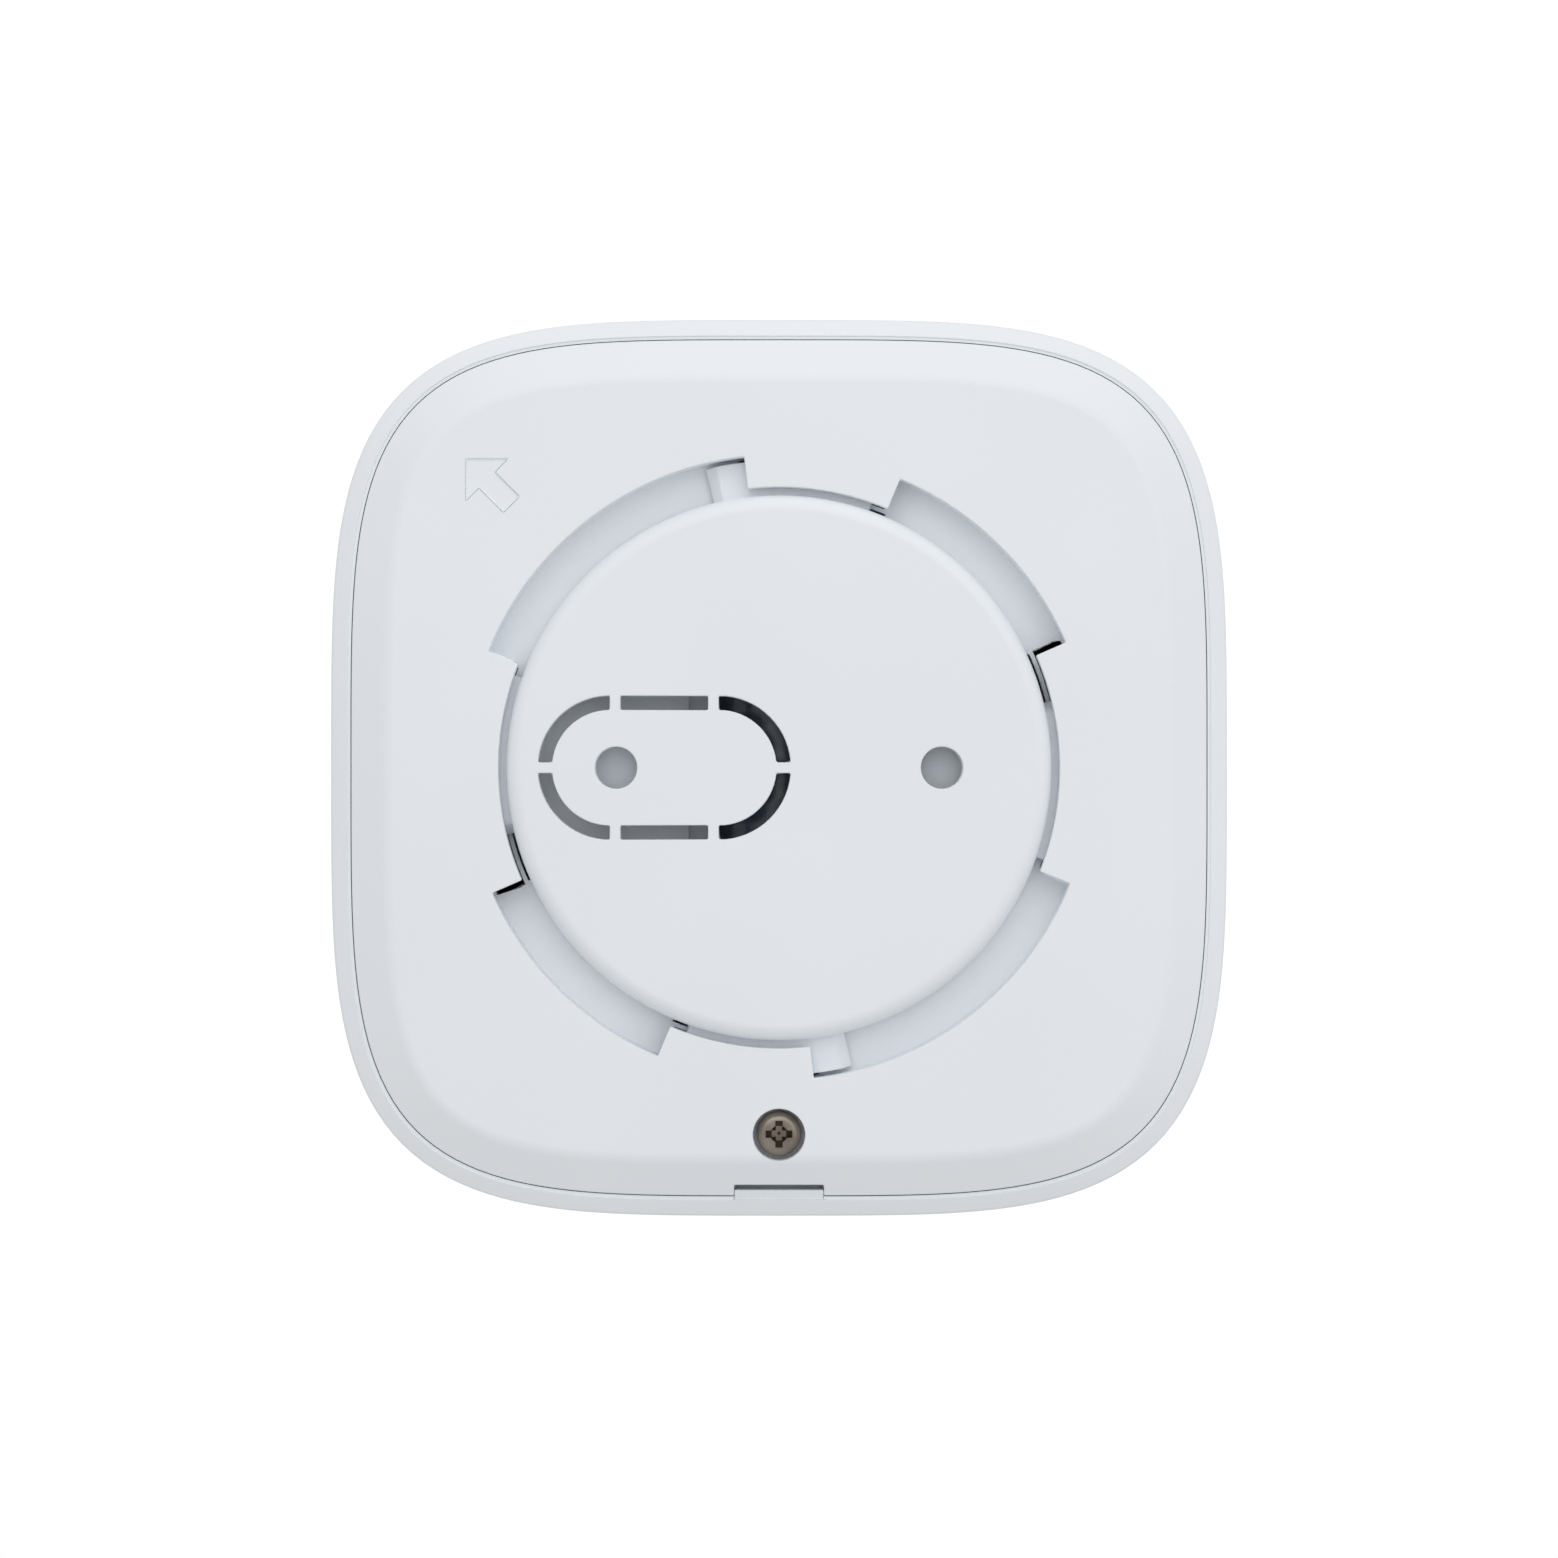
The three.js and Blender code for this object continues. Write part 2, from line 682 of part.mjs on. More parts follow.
// A pan-head screw with a cross recess. Its head's seat is at height 0 and the shank points to -Z.
function panScrew(headRadius, headHeight, shankRadius, length) {
  const dome = arc(0, headHeight * 0.4, headRadius, headHeight * 0.6, 0, 90, 3);
  const profile = [
    [0, -length],
    [shankRadius * 0.6, -length],
    [shankRadius, -length + shankRadius],
    [shankRadius, 0],
    [headRadius, 0],
    ...dome.slice(0, -1),
    [0, headHeight],
  ];
  const body = turnedBody(profile);
  const span = headRadius * 2 * crossSlotSpan;
  const slotFloor = headHeight * 0.3;
  const first = box(span, crossSlotWidth, slotFloor, headHeight * 2);
  const second = box(crossSlotWidth, span, slotFloor, headHeight * 2);
  return cut(body, join(first, second));
}

// ---------------------------------------------------------------- battery

// The cell lies along Z here and is turned to lie along Y where it is placed.
function batteryCell() {
  const radius = cellRadius - sleeveWall - sleeveGap;
  const bodyHigh = cellLength - cellNubLength;
  const shape = [[0, 0], [radius, 0], [radius, bodyHigh], [cellNubRadius, bodyHigh]];
  return turnedBody([...shape, [cellNubRadius, cellLength], [0, cellLength]], smallSides * 2);
}

function batterySleeve() {
  const low = sleeveWall;
  const high = cellLength - cellNubLength - sleeveWall;
  const inner = cellRadius - sleeveWall;
  const profile = [[inner, low], [cellRadius, low], [cellRadius, high], [inner, high], [inner, low]];
  return turnedBody(profile, smallSides * 2);
}

// A flat strip with a narrow leg that goes down through the bay's floor to the board.
function positiveContact() {
  const top = cellRadius * 0.5;
  const plate = box(contactWidth, contactStrip, -cellRadius * 0.5, top);
  const leg = box(contactLegWidth, contactStrip, boardBackLevel + fitGap - cellLevel, 0);
  return join(plate, leg);
}

// The same strip with a leaf that bows out to press on the cell's flat end.
function negativeContact() {
  const reach = contactRoom - 2 * fitGap - contactStrip;
  const half = cellRadius * 0.45;
  const shape = new THREE.Shape();
  shape.moveTo(0, half);
  shape.quadraticCurveTo(reach * 2, 0, 0, -half);
  shape.lineTo(contactStrip, -half);
  shape.quadraticCurveTo(reach * 2 - contactStrip, 0, contactStrip, half);
  shape.lineTo(0, half);
  return shape;
}

// ---------------------------------------------------------------- optical chamber

// Emitter and receiver look at the middle of the chamber from a little above its floor.
const opticLevel = chamberFloorLevel - holderHeight / 2;
const opticRadius = (holderInner + holderOuter) / 2;

function alongRadius(geometry, angle) {
  geometry.rotateY(-Math.PI / 2);
  moved(geometry, opticRadius, 0, opticLevel);
  return turned(geometry, angle);
}

function chamberBase() {
  const plateLow = chamberFloorLevel;
  const plate = cylinder(chamberRadius, plateLow, boardFrontLevel - fitGap, 0, 0, roundSides);
  const holders = [];
  const bores = [];
  for (const angle of [emitterAngle, receiverAngle]) {
    const length = holderOuter - holderInner;
    const block = box(length, holderWidth, plateLow - holderHeight, plateLow + fitGap, opticRadius, 0);
    holders.push(turned(block, angle));
    bores.push(alongRadius(cylinder(emitterRadius + fitGap, -length, length), angle));
    const slot = box(leadSize + 2 * fitGap, leadSpacing + leadSize + 2 * fitGap, opticLevel, deep);
    moved(slot, holderOuter, 0, 0);
    bores.push(turned(slot, angle));
  }
  return cut(join(plate, ...holders), ...bores);
}

// A round-nosed device on two leads that turn up to the board. It looks towards the chamber's axis.
function opticDevice(angle) {
  const half = emitterLength / 2;
  const nose = arc(0, half - emitterRadius, emitterRadius, emitterRadius, 0, 90, 4);
  const body = turnedBody([[0, -half], [emitterRadius, -half], ...nose.slice(0, -1), [0, half]]);
  const device = alongRadius(body, angle);
  const run = holderOuter - opticRadius - half + leadSize;
  const leads = [];
  const flatLow = opticLevel - leadSize / 2;
  for (const side of [-1, 1]) {
    const y = (side * leadSpacing) / 2;
    const start = opticRadius + half - leadSize / 2;
    const flat = box(run, leadSize, flatLow, flatLow + leadSize, start + run / 2, y);
    const high = boardFrontLevel - fitGap;
    const rise = box(leadSize, leadSize, flatLow, high, holderOuter, y);
    leads.push(turned(flat, angle));
    leads.push(turned(rise, angle));
  }
  return join(device, ...leads);
}

function labyrinth() {
  const low = labyrinthLevel;
  const high = chamberFloorLevel - fitGap;
  const plate = cylinder(labyrinthRadius, low, low + labyrinthPlate, 0, 0, roundSides);
  const vanes = [];
  for (let i = 0; i < vaneCount; i += 1) {
    const vane = box(vaneLength, vaneThickness, low + labyrinthPlate - vaneOverlap, high);
    turned(vane, vaneLean);
    moved(vane, vaneRadius, 0, 0);
    vanes.push(turned(vane, (i / vaneCount) * 360));
  }
  return join(plate, ...vanes);
}

function insectScreen() {
  const low = screenLevel;
  const high = chamberFloorLevel - fitGap;
  const outer = chamberRadius;
  const inner = outer - screenWall;
  const profile = [
    [inletInner - 2, low],
    [outer, low],
    [outer, high],
    [inner, high],
    [inner, low + screenWall],
    [inletInner - 2, low + screenWall],
    [inletInner - 2, low],
  ];
  const shell = turnedBody(profile, roundSides);
  const windows = [];
  for (let i = 0; i < vaneCount; i += 1) {
    const window = box(3, 4, low + 1.2, high - 1.2);
    moved(window, outer, 0, 0);
    windows.push(turned(window, ((i + 0.5) / vaneCount) * 360));
  }
  return cut(shell, ...windows);
}

// ---------------------------------------------------------------- sounder, about its own axis

const sounderLow = screenLevel + fitGap;
const sounderHigh = boardFrontLevel - fitGap;
const ledgeLevel = sounderHigh - sounderBackRoom;
const discLevel = ledgeLevel + fitGap;
const ceramicLevel = discLevel + discThickness + bondGap;
const retainerLevel = discLevel + discThickness + bondGap;
const discRadius = sounderRadius - sounderWall - fitGap;

function sounderHousing() {
  const inner = sounderRadius - sounderWall;
  const profile = [
    [sounderHoleRadius, sounderLow],
    [sounderRadius, sounderLow],
    [sounderRadius, sounderHigh],
    [inner, sounderHigh],
    [inner, ledgeLevel],
    [inner - sounderLedge, ledgeLevel],
    [inner - sounderLedge, sounderLow + sounderFront],
    [sounderHoleRadius, sounderLow + sounderFront],
    [sounderHoleRadius, sounderLow],
  ];
  return turnedBody(profile, smallSides * 2);
}

function ring(inner, outer, low, high) {
  const profile = [[inner, low], [outer, low], [outer, high], [inner, high], [inner, low]];
  return turnedBody(profile, smallSides * 2);
}

// A lead rises through the board and lies over to its pad on the board's back.
function sounderLead(x, y, fromLevel) {
  const high = boardBackLevel + fitGap + leadRadius;
  const bend = 1.2;
  const start = new THREE.Vector3(x, y, fromLevel);
  const rise = new THREE.Vector3(x, y, high - bend);
  const corner = new THREE.Vector3(x, y, high);
  const over = new THREE.Vector3(x + bend, y, high);
  const end = new THREE.Vector3(x + leadRun, y, high);
  const path = new THREE.CurvePath();
  path.add(new THREE.LineCurve3(start, rise));
  path.add(new THREE.QuadraticBezierCurve3(rise, corner, over));
  path.add(new THREE.LineCurve3(over, end));
  const section = new THREE.Shape();
  section.absarc(0, 0, leadRadius, 0, Math.PI * 2, false);
  return new THREE.ExtrudeGeometry(section, { steps: 16, extrudePath: path, curveSegments: 4 });
}

const leadPlaces = [[2, 0], [-discRadius + 1.4, 0]];

// ---------------------------------------------------------------- circuit board

function circuitBoard() {
  const plate = outlineBody([[boardInset, boardFrontLevel], [boardInset, boardBackLevel]]);
  const holes = boardPosts().map(([x, y]) => {
    return cylinder(boardScrewShankRadius + fitGap, -deep, 0, x, y);
  });
  const notch = cylinder(coverPostRadius + 2 * fitGap, -deep, 0, 0, housingScrewY);
  const leadHoles = leadPlaces.map(([x, y]) => {
    return cylinder(leadRadius + fitGap, -deep, 0, sounderPlace + x, sounderPlace + y);
  });
  return cut(plate, ...holes, notch, ...leadHoles);
}

function inductor() {
  const profile = [
    [0, 0],
    [inductorRadius, 0],
    [inductorRadius, inductorFlange],
    [inductorCoreRadius, inductorFlange],
    [inductorCoreRadius, inductorHeight - inductorFlange],
    [inductorRadius, inductorHeight - inductorFlange],
    [inductorRadius, inductorHeight],
    [0, inductorHeight],
  ];
  return turnedBody(profile);
}

// ---------------------------------------------------------------- button, switch, light

function testButton() {
  const face = frontLevel + buttonSink;
  const flangeLow = frontInnerLevel + fitGap;
  const flangeHigh = flangeLow + buttonFlangeHeight;
  const stemHigh = boardFrontLevel - fitGap - switchHeight - plungerRise - fitGap;
  const edge = arc(buttonRadius - 0.6, face + 0.6, 0.6, 0.6, -90, 0, 3);
  return turnedBody([
    [0, face],
    ...edge,
    [buttonRadius, flangeLow],
    [buttonRadius + buttonFlange, flangeLow],
    [buttonRadius + buttonFlange, flangeHigh],
    [buttonStemRadius, flangeHigh],
    [buttonStemRadius, stemHigh],
    [0, stemHigh],
  ], smallSides * 2);
}

function switchBody() {
  const top = boardFrontLevel - fitGap;
  const block = box(switchSize, switchSize, top - switchHeight, top, 0, buttonY);
  const socketHigh = top - switchHeight + plungerBlind + buttonTravel + 2 * fitGap;
  const socket = cylinder(plungerRadius + fitGap, top - switchHeight - 1, socketHigh, 0, buttonY);
  return cut(block, socket);
}

function switchPlunger() {
  const low = boardFrontLevel - fitGap - switchHeight - plungerRise;
  return cylinder(plungerRadius, low, low + plungerRise + plungerBlind, 0, buttonY);
}

function lightPipe() {
  const collarLow = frontInnerLevel + fitGap;
  const top = boardFrontLevel - fitGap - ledHeight - fitGap;
  const collar = lightRadius + lightCollar;
  return turnedBody([
    [0, frontLevel + fitGap / 2],
    [lightRadius, frontLevel + fitGap / 2],
    [lightRadius, collarLow],
    [collar, collarLow],
    [collar, collarLow + lightCollarHeight],
    [lightRadius, collarLow + lightCollarHeight],
    [lightRadius, top],
    [0, top],
  ]);
}

// ---------------------------------------------------------------- the alarm

const alarm = new THREE.Group();

function add(parent, name, geometry, material, x = 0, y = 0, z = 0) {
  const mesh = new THREE.Mesh(geometry, material);
  mesh.name = name;
  mesh.position.set(x, y, z);
  parent.add(mesh);
  return mesh;
}

add(alarm, 'mounting_bracket', mountingBracket(), whitePlastic);
add(alarm, 'rear_housing', rearHousing(), whitePlastic);
add(alarm, 'front_cover', frontCover(), whitePlastic);

const housingScrew = panScrew(
  housingScrewHeadRadius, housingScrewHeadHeight, housingScrewShankRadius, housingScrewLength);
add(alarm, 'housing_screw', housingScrew, nickel, 0, housingScrewY, housingScrewSeat);

boardPosts().forEach(([x, y], i) => {
  const screw = panScrew(
    boardScrewHeadRadius, boardScrewHeadHeight, boardScrewShankRadius, boardScrewLength);
  const mesh = add(alarm, `board_screw_${i + 1}`, screw, steel, x, y, boardFrontLevel - fitGap);
  mesh.rotation.x = Math.PI;
});

// The battery bay: the cell and its sleeve lie along Y, with the contacts at the ends.
const battery = new THREE.Group();
battery.position.set(0, -cellLength / 2, cellLevel);
battery.rotation.x = -Math.PI / 2;
alarm.add(battery);
add(battery, 'battery_cell', batteryCell(), steel);
add(battery, 'battery_sleeve', batterySleeve(), sleevePlastic);

const contactY = bayHalfLength - fitGap - contactStrip / 2;
add(alarm, 'battery_contact_positive', positiveContact(), nickel, 0, contactY, cellLevel);

const leafOptions = { depth: contactWidth, bevelEnabled: false, curveSegments: 10 };
const leaf = new THREE.ExtrudeGeometry(negativeContact(), leafOptions);
leaf.translate(0, 0, -contactWidth / 2);
leaf.rotateX(Math.PI / 2);
leaf.rotateZ(Math.PI / 2);
leaf.translate(0, -contactStrip / 2, 0);
const negative = join(leaf, positiveContact());
add(alarm, 'battery_contact_negative', negative, nickel, 0, -contactY, cellLevel);

// The board and what is soldered to its front.
const board = new THREE.Group();
board.position.z = boardFrontLevel - fitGap;
alarm.add(board);
add(alarm, 'circuit_board', circuitBoard(), boardGreen);
add(board, 'microcontroller', box(chipSize, chipSize, -chipHeight, 0), chipBlack, chipX, chipY);
const inductorMesh = add(board, 'boost_inductor', inductor(), ferrite, inductorX, inductorY);
inductorMesh.rotation.x = Math.PI;
const capacitor = cylinder(capacitorRadius, -capacitorHeight, 0);
add(board, 'reservoir_capacitor', capacitor, steel, capacitorX, capacitorY);
add(board, 'status_led', cylinder(ledRadius, -ledHeight, 0), clearPlastic, lightX, buttonY);

add(alarm, 'tact_switch_body', switchBody(), blackPlastic);
add(alarm, 'tact_switch_plunger', switchPlunger(), blackPlastic);
add(alarm, 'test_button', testButton(), whiteButton, 0, buttonY);
add(alarm, 'light_pipe', lightPipe(), clearPlastic, lightX, buttonY);

// The optical chamber in the middle of the board.
add(alarm, 'chamber_base', chamberBase(), blackPlastic);
add(alarm, 'chamber_labyrinth', labyrinth(), blackPlastic);
add(alarm, 'insect_screen', insectScreen(), screenSteel);
add(alarm, 'infrared_emitter', opticDevice(emitterAngle), clearPlastic);
add(alarm, 'light_receiver', opticDevice(receiverAngle), blackPlastic);

// The sounder in the corner.
const sounder = new THREE.Group();
sounder.position.set(sounderPlace, sounderPlace, 0);
alarm.add(sounder);
add(sounder, 'sounder_housing', sounderHousing(), blackPlastic);
add(sounder, 'sounder_disc', cylinder(discRadius, discLevel, discLevel + discThickness, 0, 0, 48), brass);
const ceramicHigh = ceramicLevel + ceramicThickness;
add(sounder, 'sounder_ceramic', cylinder(ceramicRadius, ceramicLevel, ceramicHigh, 0, 0, 48), ceramic);
const retainerHigh = retainerLevel + retainerHeight;
const retainer = ring(discRadius - retainerWidth, discRadius, retainerLevel, retainerHigh);
add(sounder, 'sounder_retainer', retainer, blackPlastic);
const [redPlace, blackPlace] = leadPlaces;
const redLead = sounderLead(redPlace[0], redPlace[1], ceramicHigh + fitGap);
add(sounder, 'sounder_lead_red', redLead, redPlastic);
const blackLead = sounderLead(blackPlace[0], blackPlace[1], retainerHigh + fitGap);
add(sounder, 'sounder_lead_black', blackLead, blackPlastic);

export default alarm;
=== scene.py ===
"""Smoke detector: finished casings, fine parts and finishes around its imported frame."""
import math

import bpy
from bpy.props import FloatProperty, FloatVectorProperty, PointerProperty
from mathutils import Matrix, Vector


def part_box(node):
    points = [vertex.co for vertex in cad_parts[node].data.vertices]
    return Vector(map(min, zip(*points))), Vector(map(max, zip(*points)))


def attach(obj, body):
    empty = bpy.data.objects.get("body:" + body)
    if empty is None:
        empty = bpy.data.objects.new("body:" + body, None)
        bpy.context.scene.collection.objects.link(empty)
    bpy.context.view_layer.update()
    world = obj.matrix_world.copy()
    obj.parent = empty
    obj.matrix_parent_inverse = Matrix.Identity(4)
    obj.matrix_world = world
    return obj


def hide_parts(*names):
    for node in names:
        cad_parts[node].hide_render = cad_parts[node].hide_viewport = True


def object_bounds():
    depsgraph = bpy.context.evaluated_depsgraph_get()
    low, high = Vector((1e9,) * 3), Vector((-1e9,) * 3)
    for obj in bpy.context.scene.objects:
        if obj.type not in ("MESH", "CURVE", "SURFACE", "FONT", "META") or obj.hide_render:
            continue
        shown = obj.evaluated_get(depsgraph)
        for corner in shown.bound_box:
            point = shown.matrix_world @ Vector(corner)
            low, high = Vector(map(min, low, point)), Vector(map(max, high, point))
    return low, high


bl_info = {
    "name": "Smoke Detector",
    "version": (1, 0, 0),
    "blender": (4, 5, 0),
    "location": "View3D > Sidebar > Detector",
    "description": "Builds the casings, bracket, button, mesh and finishes of a smoke detector",
    "category": "Add Mesh",
}

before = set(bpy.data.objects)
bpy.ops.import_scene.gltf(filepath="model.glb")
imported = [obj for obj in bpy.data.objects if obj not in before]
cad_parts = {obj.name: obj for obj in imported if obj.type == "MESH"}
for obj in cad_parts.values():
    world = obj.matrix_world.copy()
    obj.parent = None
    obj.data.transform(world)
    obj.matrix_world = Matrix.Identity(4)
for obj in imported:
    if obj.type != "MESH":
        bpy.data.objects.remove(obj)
cad_low, cad_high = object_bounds()

MM = 0.001
ALARM = "alarm_body"
BRACKET = "ceiling_bracket"
BUTTON = "button"


def node_box(name):
    """The lowest and highest corner of a frame node, in millimetres."""
    low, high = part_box(name)
    return low / MM, high / MM


COVER_LOW, COVER_HIGH = node_box("front_cover")
HOUSING_HIGH = node_box("rear_housing")[1]
BRACKET_LOW, BRACKET_HIGH = node_box("mounting_bracket")
SCREW_LOW, SCREW_HIGH = node_box("housing_screw")
BUTTON_LOW, BUTTON_HIGH = node_box("test_button")
PIPE_LOW, PIPE_HIGH = node_box("light_pipe")
SCREEN_LOW, SCREEN_HIGH = node_box("insect_screen")
CELL_LOW, CELL_HIGH = node_box("battery_cell")
SLEEVE_LOW, SLEEVE_HIGH = node_box("battery_sleeve")
SOUNDER_LOW, SOUNDER_HIGH = node_box("sounder_housing")

# Every size below is in millimetres and every angle in degrees. The ceiling face is at
# height zero, and the front faces down.
CEILING = BRACKET_HIGH.z
BACK = HOUSING_HIGH.z
FRONT = COVER_LOW.z
TAB_UNDER = BRACKET_LOW.z

# Cutters run past the faces that they cut
OVERRUN = 1.0
FAR_BELOW = -30.0

# Outline: a square whose sides and corners are one curve
HALF_WIDTH = COVER_HIGH.x
OUTLINE_POWER = 4
OUTLINE_SIDES = 240
ROUND_SIDES = 144
HOLE_SIDES = 40
FINE_SIDES = 64

# Sloped shoulder round the back
SLOPE = math.tan(math.radians(28))
FLAT_INSET = 5.45
SHOULDER_BLEND = 0.6
SHOULDER_STEPS = 4
WALL = 2.0
SKIRT_WALL = 1.5

# Bayonet recess in the back
LIP_RADIUS = 27.45
LIP_THICKNESS = 1.6
LIPS = [(67.2, 96.4), (158.3, 203.6), (247.2, 276.4), (-21.7, 23.6)]
TAB_RADIUS = BRACKET_HIGH.x
TAB_THICKNESS = 1.5
TAB_HALF_ANGLE = 15.5
TAB_FIRST_ANGLE = -3.7
POCKET_RADIUS = TAB_RADIUS + 0.4
FLOOR = TAB_UNDER - 0.3
FLOOR_THICKNESS = 1.8
STOP_ANGLE = 1.8
STOP_INNER = LIP_RADIUS + 0.6

# Openings in the recess floor. Those by the cell's sides differ from those by its ends.
WINDOW_TOP = FLOOR + 0.2
WINDOW_UNDER = -8.0
WINDOW_OUTER = POCKET_RADIUS - 0.12
WINDOW_INNER = LIP_RADIUS + 0.05
WINDOW_START = 0.4
WINDOW_END = {True: 1.0, False: -0.2}
SLIT_INNER = 26.1
SLIT_OUTER = LIP_RADIUS - 0.35
SLIT_BY_SIDE = (-11.9, 0.9)
SLIT_BY_END = (0.2, 4.0)
DOT_WIDTH = 0.7
DOT_ANGLES = (0.1, 1.2)

# Inside of the back casing
BAY_RADIUS = SLEEVE_HIGH.x + 0.4
BAY_WALL = 1.2
BAY_HALF_LENGTH = (CELL_HIGH.y - CELL_LOW.y) / 2 + 2.3
BAY_TOP = FLOOR + 0.3
CELL_AXIS = (CELL_HIGH.z + CELL_LOW.z) / 2
CUP_WALL = 1.8
RIB_SIZE = (2.4, 3.2, 2.6)
RIB_X = 8.1
RIB_Y = 6.4
RIB_DROP = 1.9
POSTS = [(-31.0, 27.0), (31.0, 27.0), (31.0, -27.0)]
POST_RADIUS = 3.0
POST_UNDER = -24.0
POST_BORE_RADIUS = 1.3
POST_BORE_TOP = -17.6
LEG_SLOT = (3.6, 1.0, 20.0)

# The screw that joins the casings
SCREW_Y = (SCREW_HIGH.y + SCREW_LOW.y) / 2
SCREW_HEAD_RADIUS = SCREW_HIGH.x
SCREW_SINK_RADIUS = SCREW_HEAD_RADIUS + 0.3
SCREW_SINK_BELOW = 0.3
SCREW_HEAD_HEIGHT = 1.6
SCREW_SEAT = SCREW_HIGH.z - SCREW_HEAD_HEIGHT
SCREW_HOLE_RADIUS = 1.55
BOSS_RADIUS = 4.2
COVER_POST_RADIUS = 3.4
COVER_POST_TOP = -12.0

# Release arrow
ARROW_HEAD = 4.1
ARROW_SHAFT_WIDTH = 2.2
ARROW_SHAFT_LENGTH = 3.4
ARROW_INSET = (13.5, 13.9)

# Snap hooks on three sides, and the pry notch on the fourth
HOOK_SIZE = (7.0, 2.4, 1.1)
HOOK_SLOT = (7.6, 5.4, 1.7)
HOOK_INSET = 1.7
HOOK_DROP = 6.5
HOOK_TURNS = (0, 90, -90)
PRY_SIZE = (8.8, 2.4, 8.0)
PRY_INSET = 2.0
PRY_DEPTH = 3.0
LEDGE_WIDTH = 8.76
LEDGE_OUTER = 1.2
LEDGE_INNER = 2.66
LEDGE_HEIGHT = 4.0
LEDGE_SINK = 0.2

# Bracket
DISC_RADIUS = 26.7
DISC_FILLET = 1.6
DISC_WALL = 1.5
DISC_THICKNESS = 2.0
HOLE_X = 15.9
HOLE_RADIUS = 2.05
HOLE_BOSS_RADIUS = 4.05
HOLE_BOSS_DEPTH = 3.0
TAB_ROOT = 1.0
LEAD_IN_ANGLE = 2.0
LEAD_IN_SLOPE = 0.9
KNOCKOUT_LENGTH = 24.7
KNOCKOUT_WIDTH = 14.05
KNOCKOUT_SLOT = 1.38
KNOCKOUT_BRIDGE = 1.05
KNOCKOUT_X = -11.2

# Front
EDGE_ROUND = 8.0
RIM_INSET = 1.7
RIM_ROUND = 0.5
RIM_TURN = 62
SEAM_INSET = 1.71
SEAM_LEVEL = BACK - (FLAT_INSET - SEAM_INSET) * SLOPE
SEAM_DEPTH = 0.18
SEAM_GAP = 0.05
SKIRT_INSET = 2.1
SKIRT_GAP = 0.1
SKIRT_UNDER = -11.7
SIDE_DRAFT = 0.6
COVER_WALL = 2.2
FRONT_INNER = FRONT + COVER_WALL
HOLE_TOP = -20.0
GROOVE_OUTER = 19.9
GROOVE_INNER = 19.4
BUTTON_Y = (BUTTON_HIGH.y + BUTTON_LOW.y) / 2
BUTTON_RADIUS = 6.5
BUTTON_GAP = 0.3
BUTTON_FLANGE = 1.2
BUTTON_STEM_RADIUS = 2.0
LIGHT_X = (PIPE_HIGH.x + PIPE_LOW.x) / 2
LIGHT_RADIUS = 1.5
LIGHT_GAP = 0.15
LIGHT_COLLAR = 0.8
SOUNDER_X = (SOUNDER_HIGH.x + SOUNDER_LOW.x) / 2
SOUNDER_Y = (SOUNDER_HIGH.y + SOUNDER_LOW.y) / 2
INLETS = 28
INLET_INNER = 11.5
INLET_OUTER = 17.0
INLET_WIDTH = 1.5
GRILLE_RADIUS = 8.0
GRILLE_PITCH = 3.2
GRILLE_WIDTH = 1.6
GRILLE_SLOTS = 5
GRILLE_TURN = -45


def slope_level(inset):
    """Height of the sloped shoulder at a distance in from the outline."""
    return BACK - (FLAT_INSET - inset) * SLOPE


# ---------------------------------------------------------------- materials

# A moulding's colour drifts over about this many millimetres
FLOW_SIZE = 28.0
# and a metal's shine dulls in clouds of this many
DULLING_SIZE = 2.5

# Slot, material, darker and lighter colour, size and depth of the grain in millimetres,
# and lowest roughness
MOULDED = (
    # ABS from a finer, half-polished mould: a soft shine beside the matte cover
    ("button", "ABS moulded satin button", "#E9EDF0", "#EEF2F4", 0.25, 0.005, 0.30),
    # ABS from a coarsely eroded mould: dull, so that no stray light gets about the chamber
    ("black", "ABS moulded matte black", "#17181A", "#202225", 0.5, 0.02, 0.62),
    # ABS from an eroded mould: an even dark grey with a low sheen
    ("sounder", "ABS moulded black sounder case", "#1B1C1E", "#26282B", 0.4, 0.015, 0.48),
    # Filled epoxy from a blasted mould: dense black with a fine sandy bloom
    ("chip", "Epoxy moulded chip package", "#1A1A1C", "#26262A", 0.12, 0.01, 0.55),
    # Pressed and fired powder: brown-black, with small open pores
    ("ferrite", "Ferrite sintered core", "#2B2927", "#403C39", 0.25, 0.03, 0.5),
    # Fired ceramic with a screened silver coat: cream grey with a soft gleam
    ("ceramic", "Ceramic fired silvered disc", "#C9C4B4", "#DDD8C9", 0.15, 0.01, 0.35),
    # Extruded PVC: a waxy, rather glossy skin with slow ripples along it
    ("red_lead", "PVC extruded red lead", "#A3201C", "#C22D26", 0.6, 0.01, 0.3),
    # The same skin in black
    ("black_lead", "PVC extruded black lead", "#151516", "#222224", 0.6, 0.01, 0.3),
)

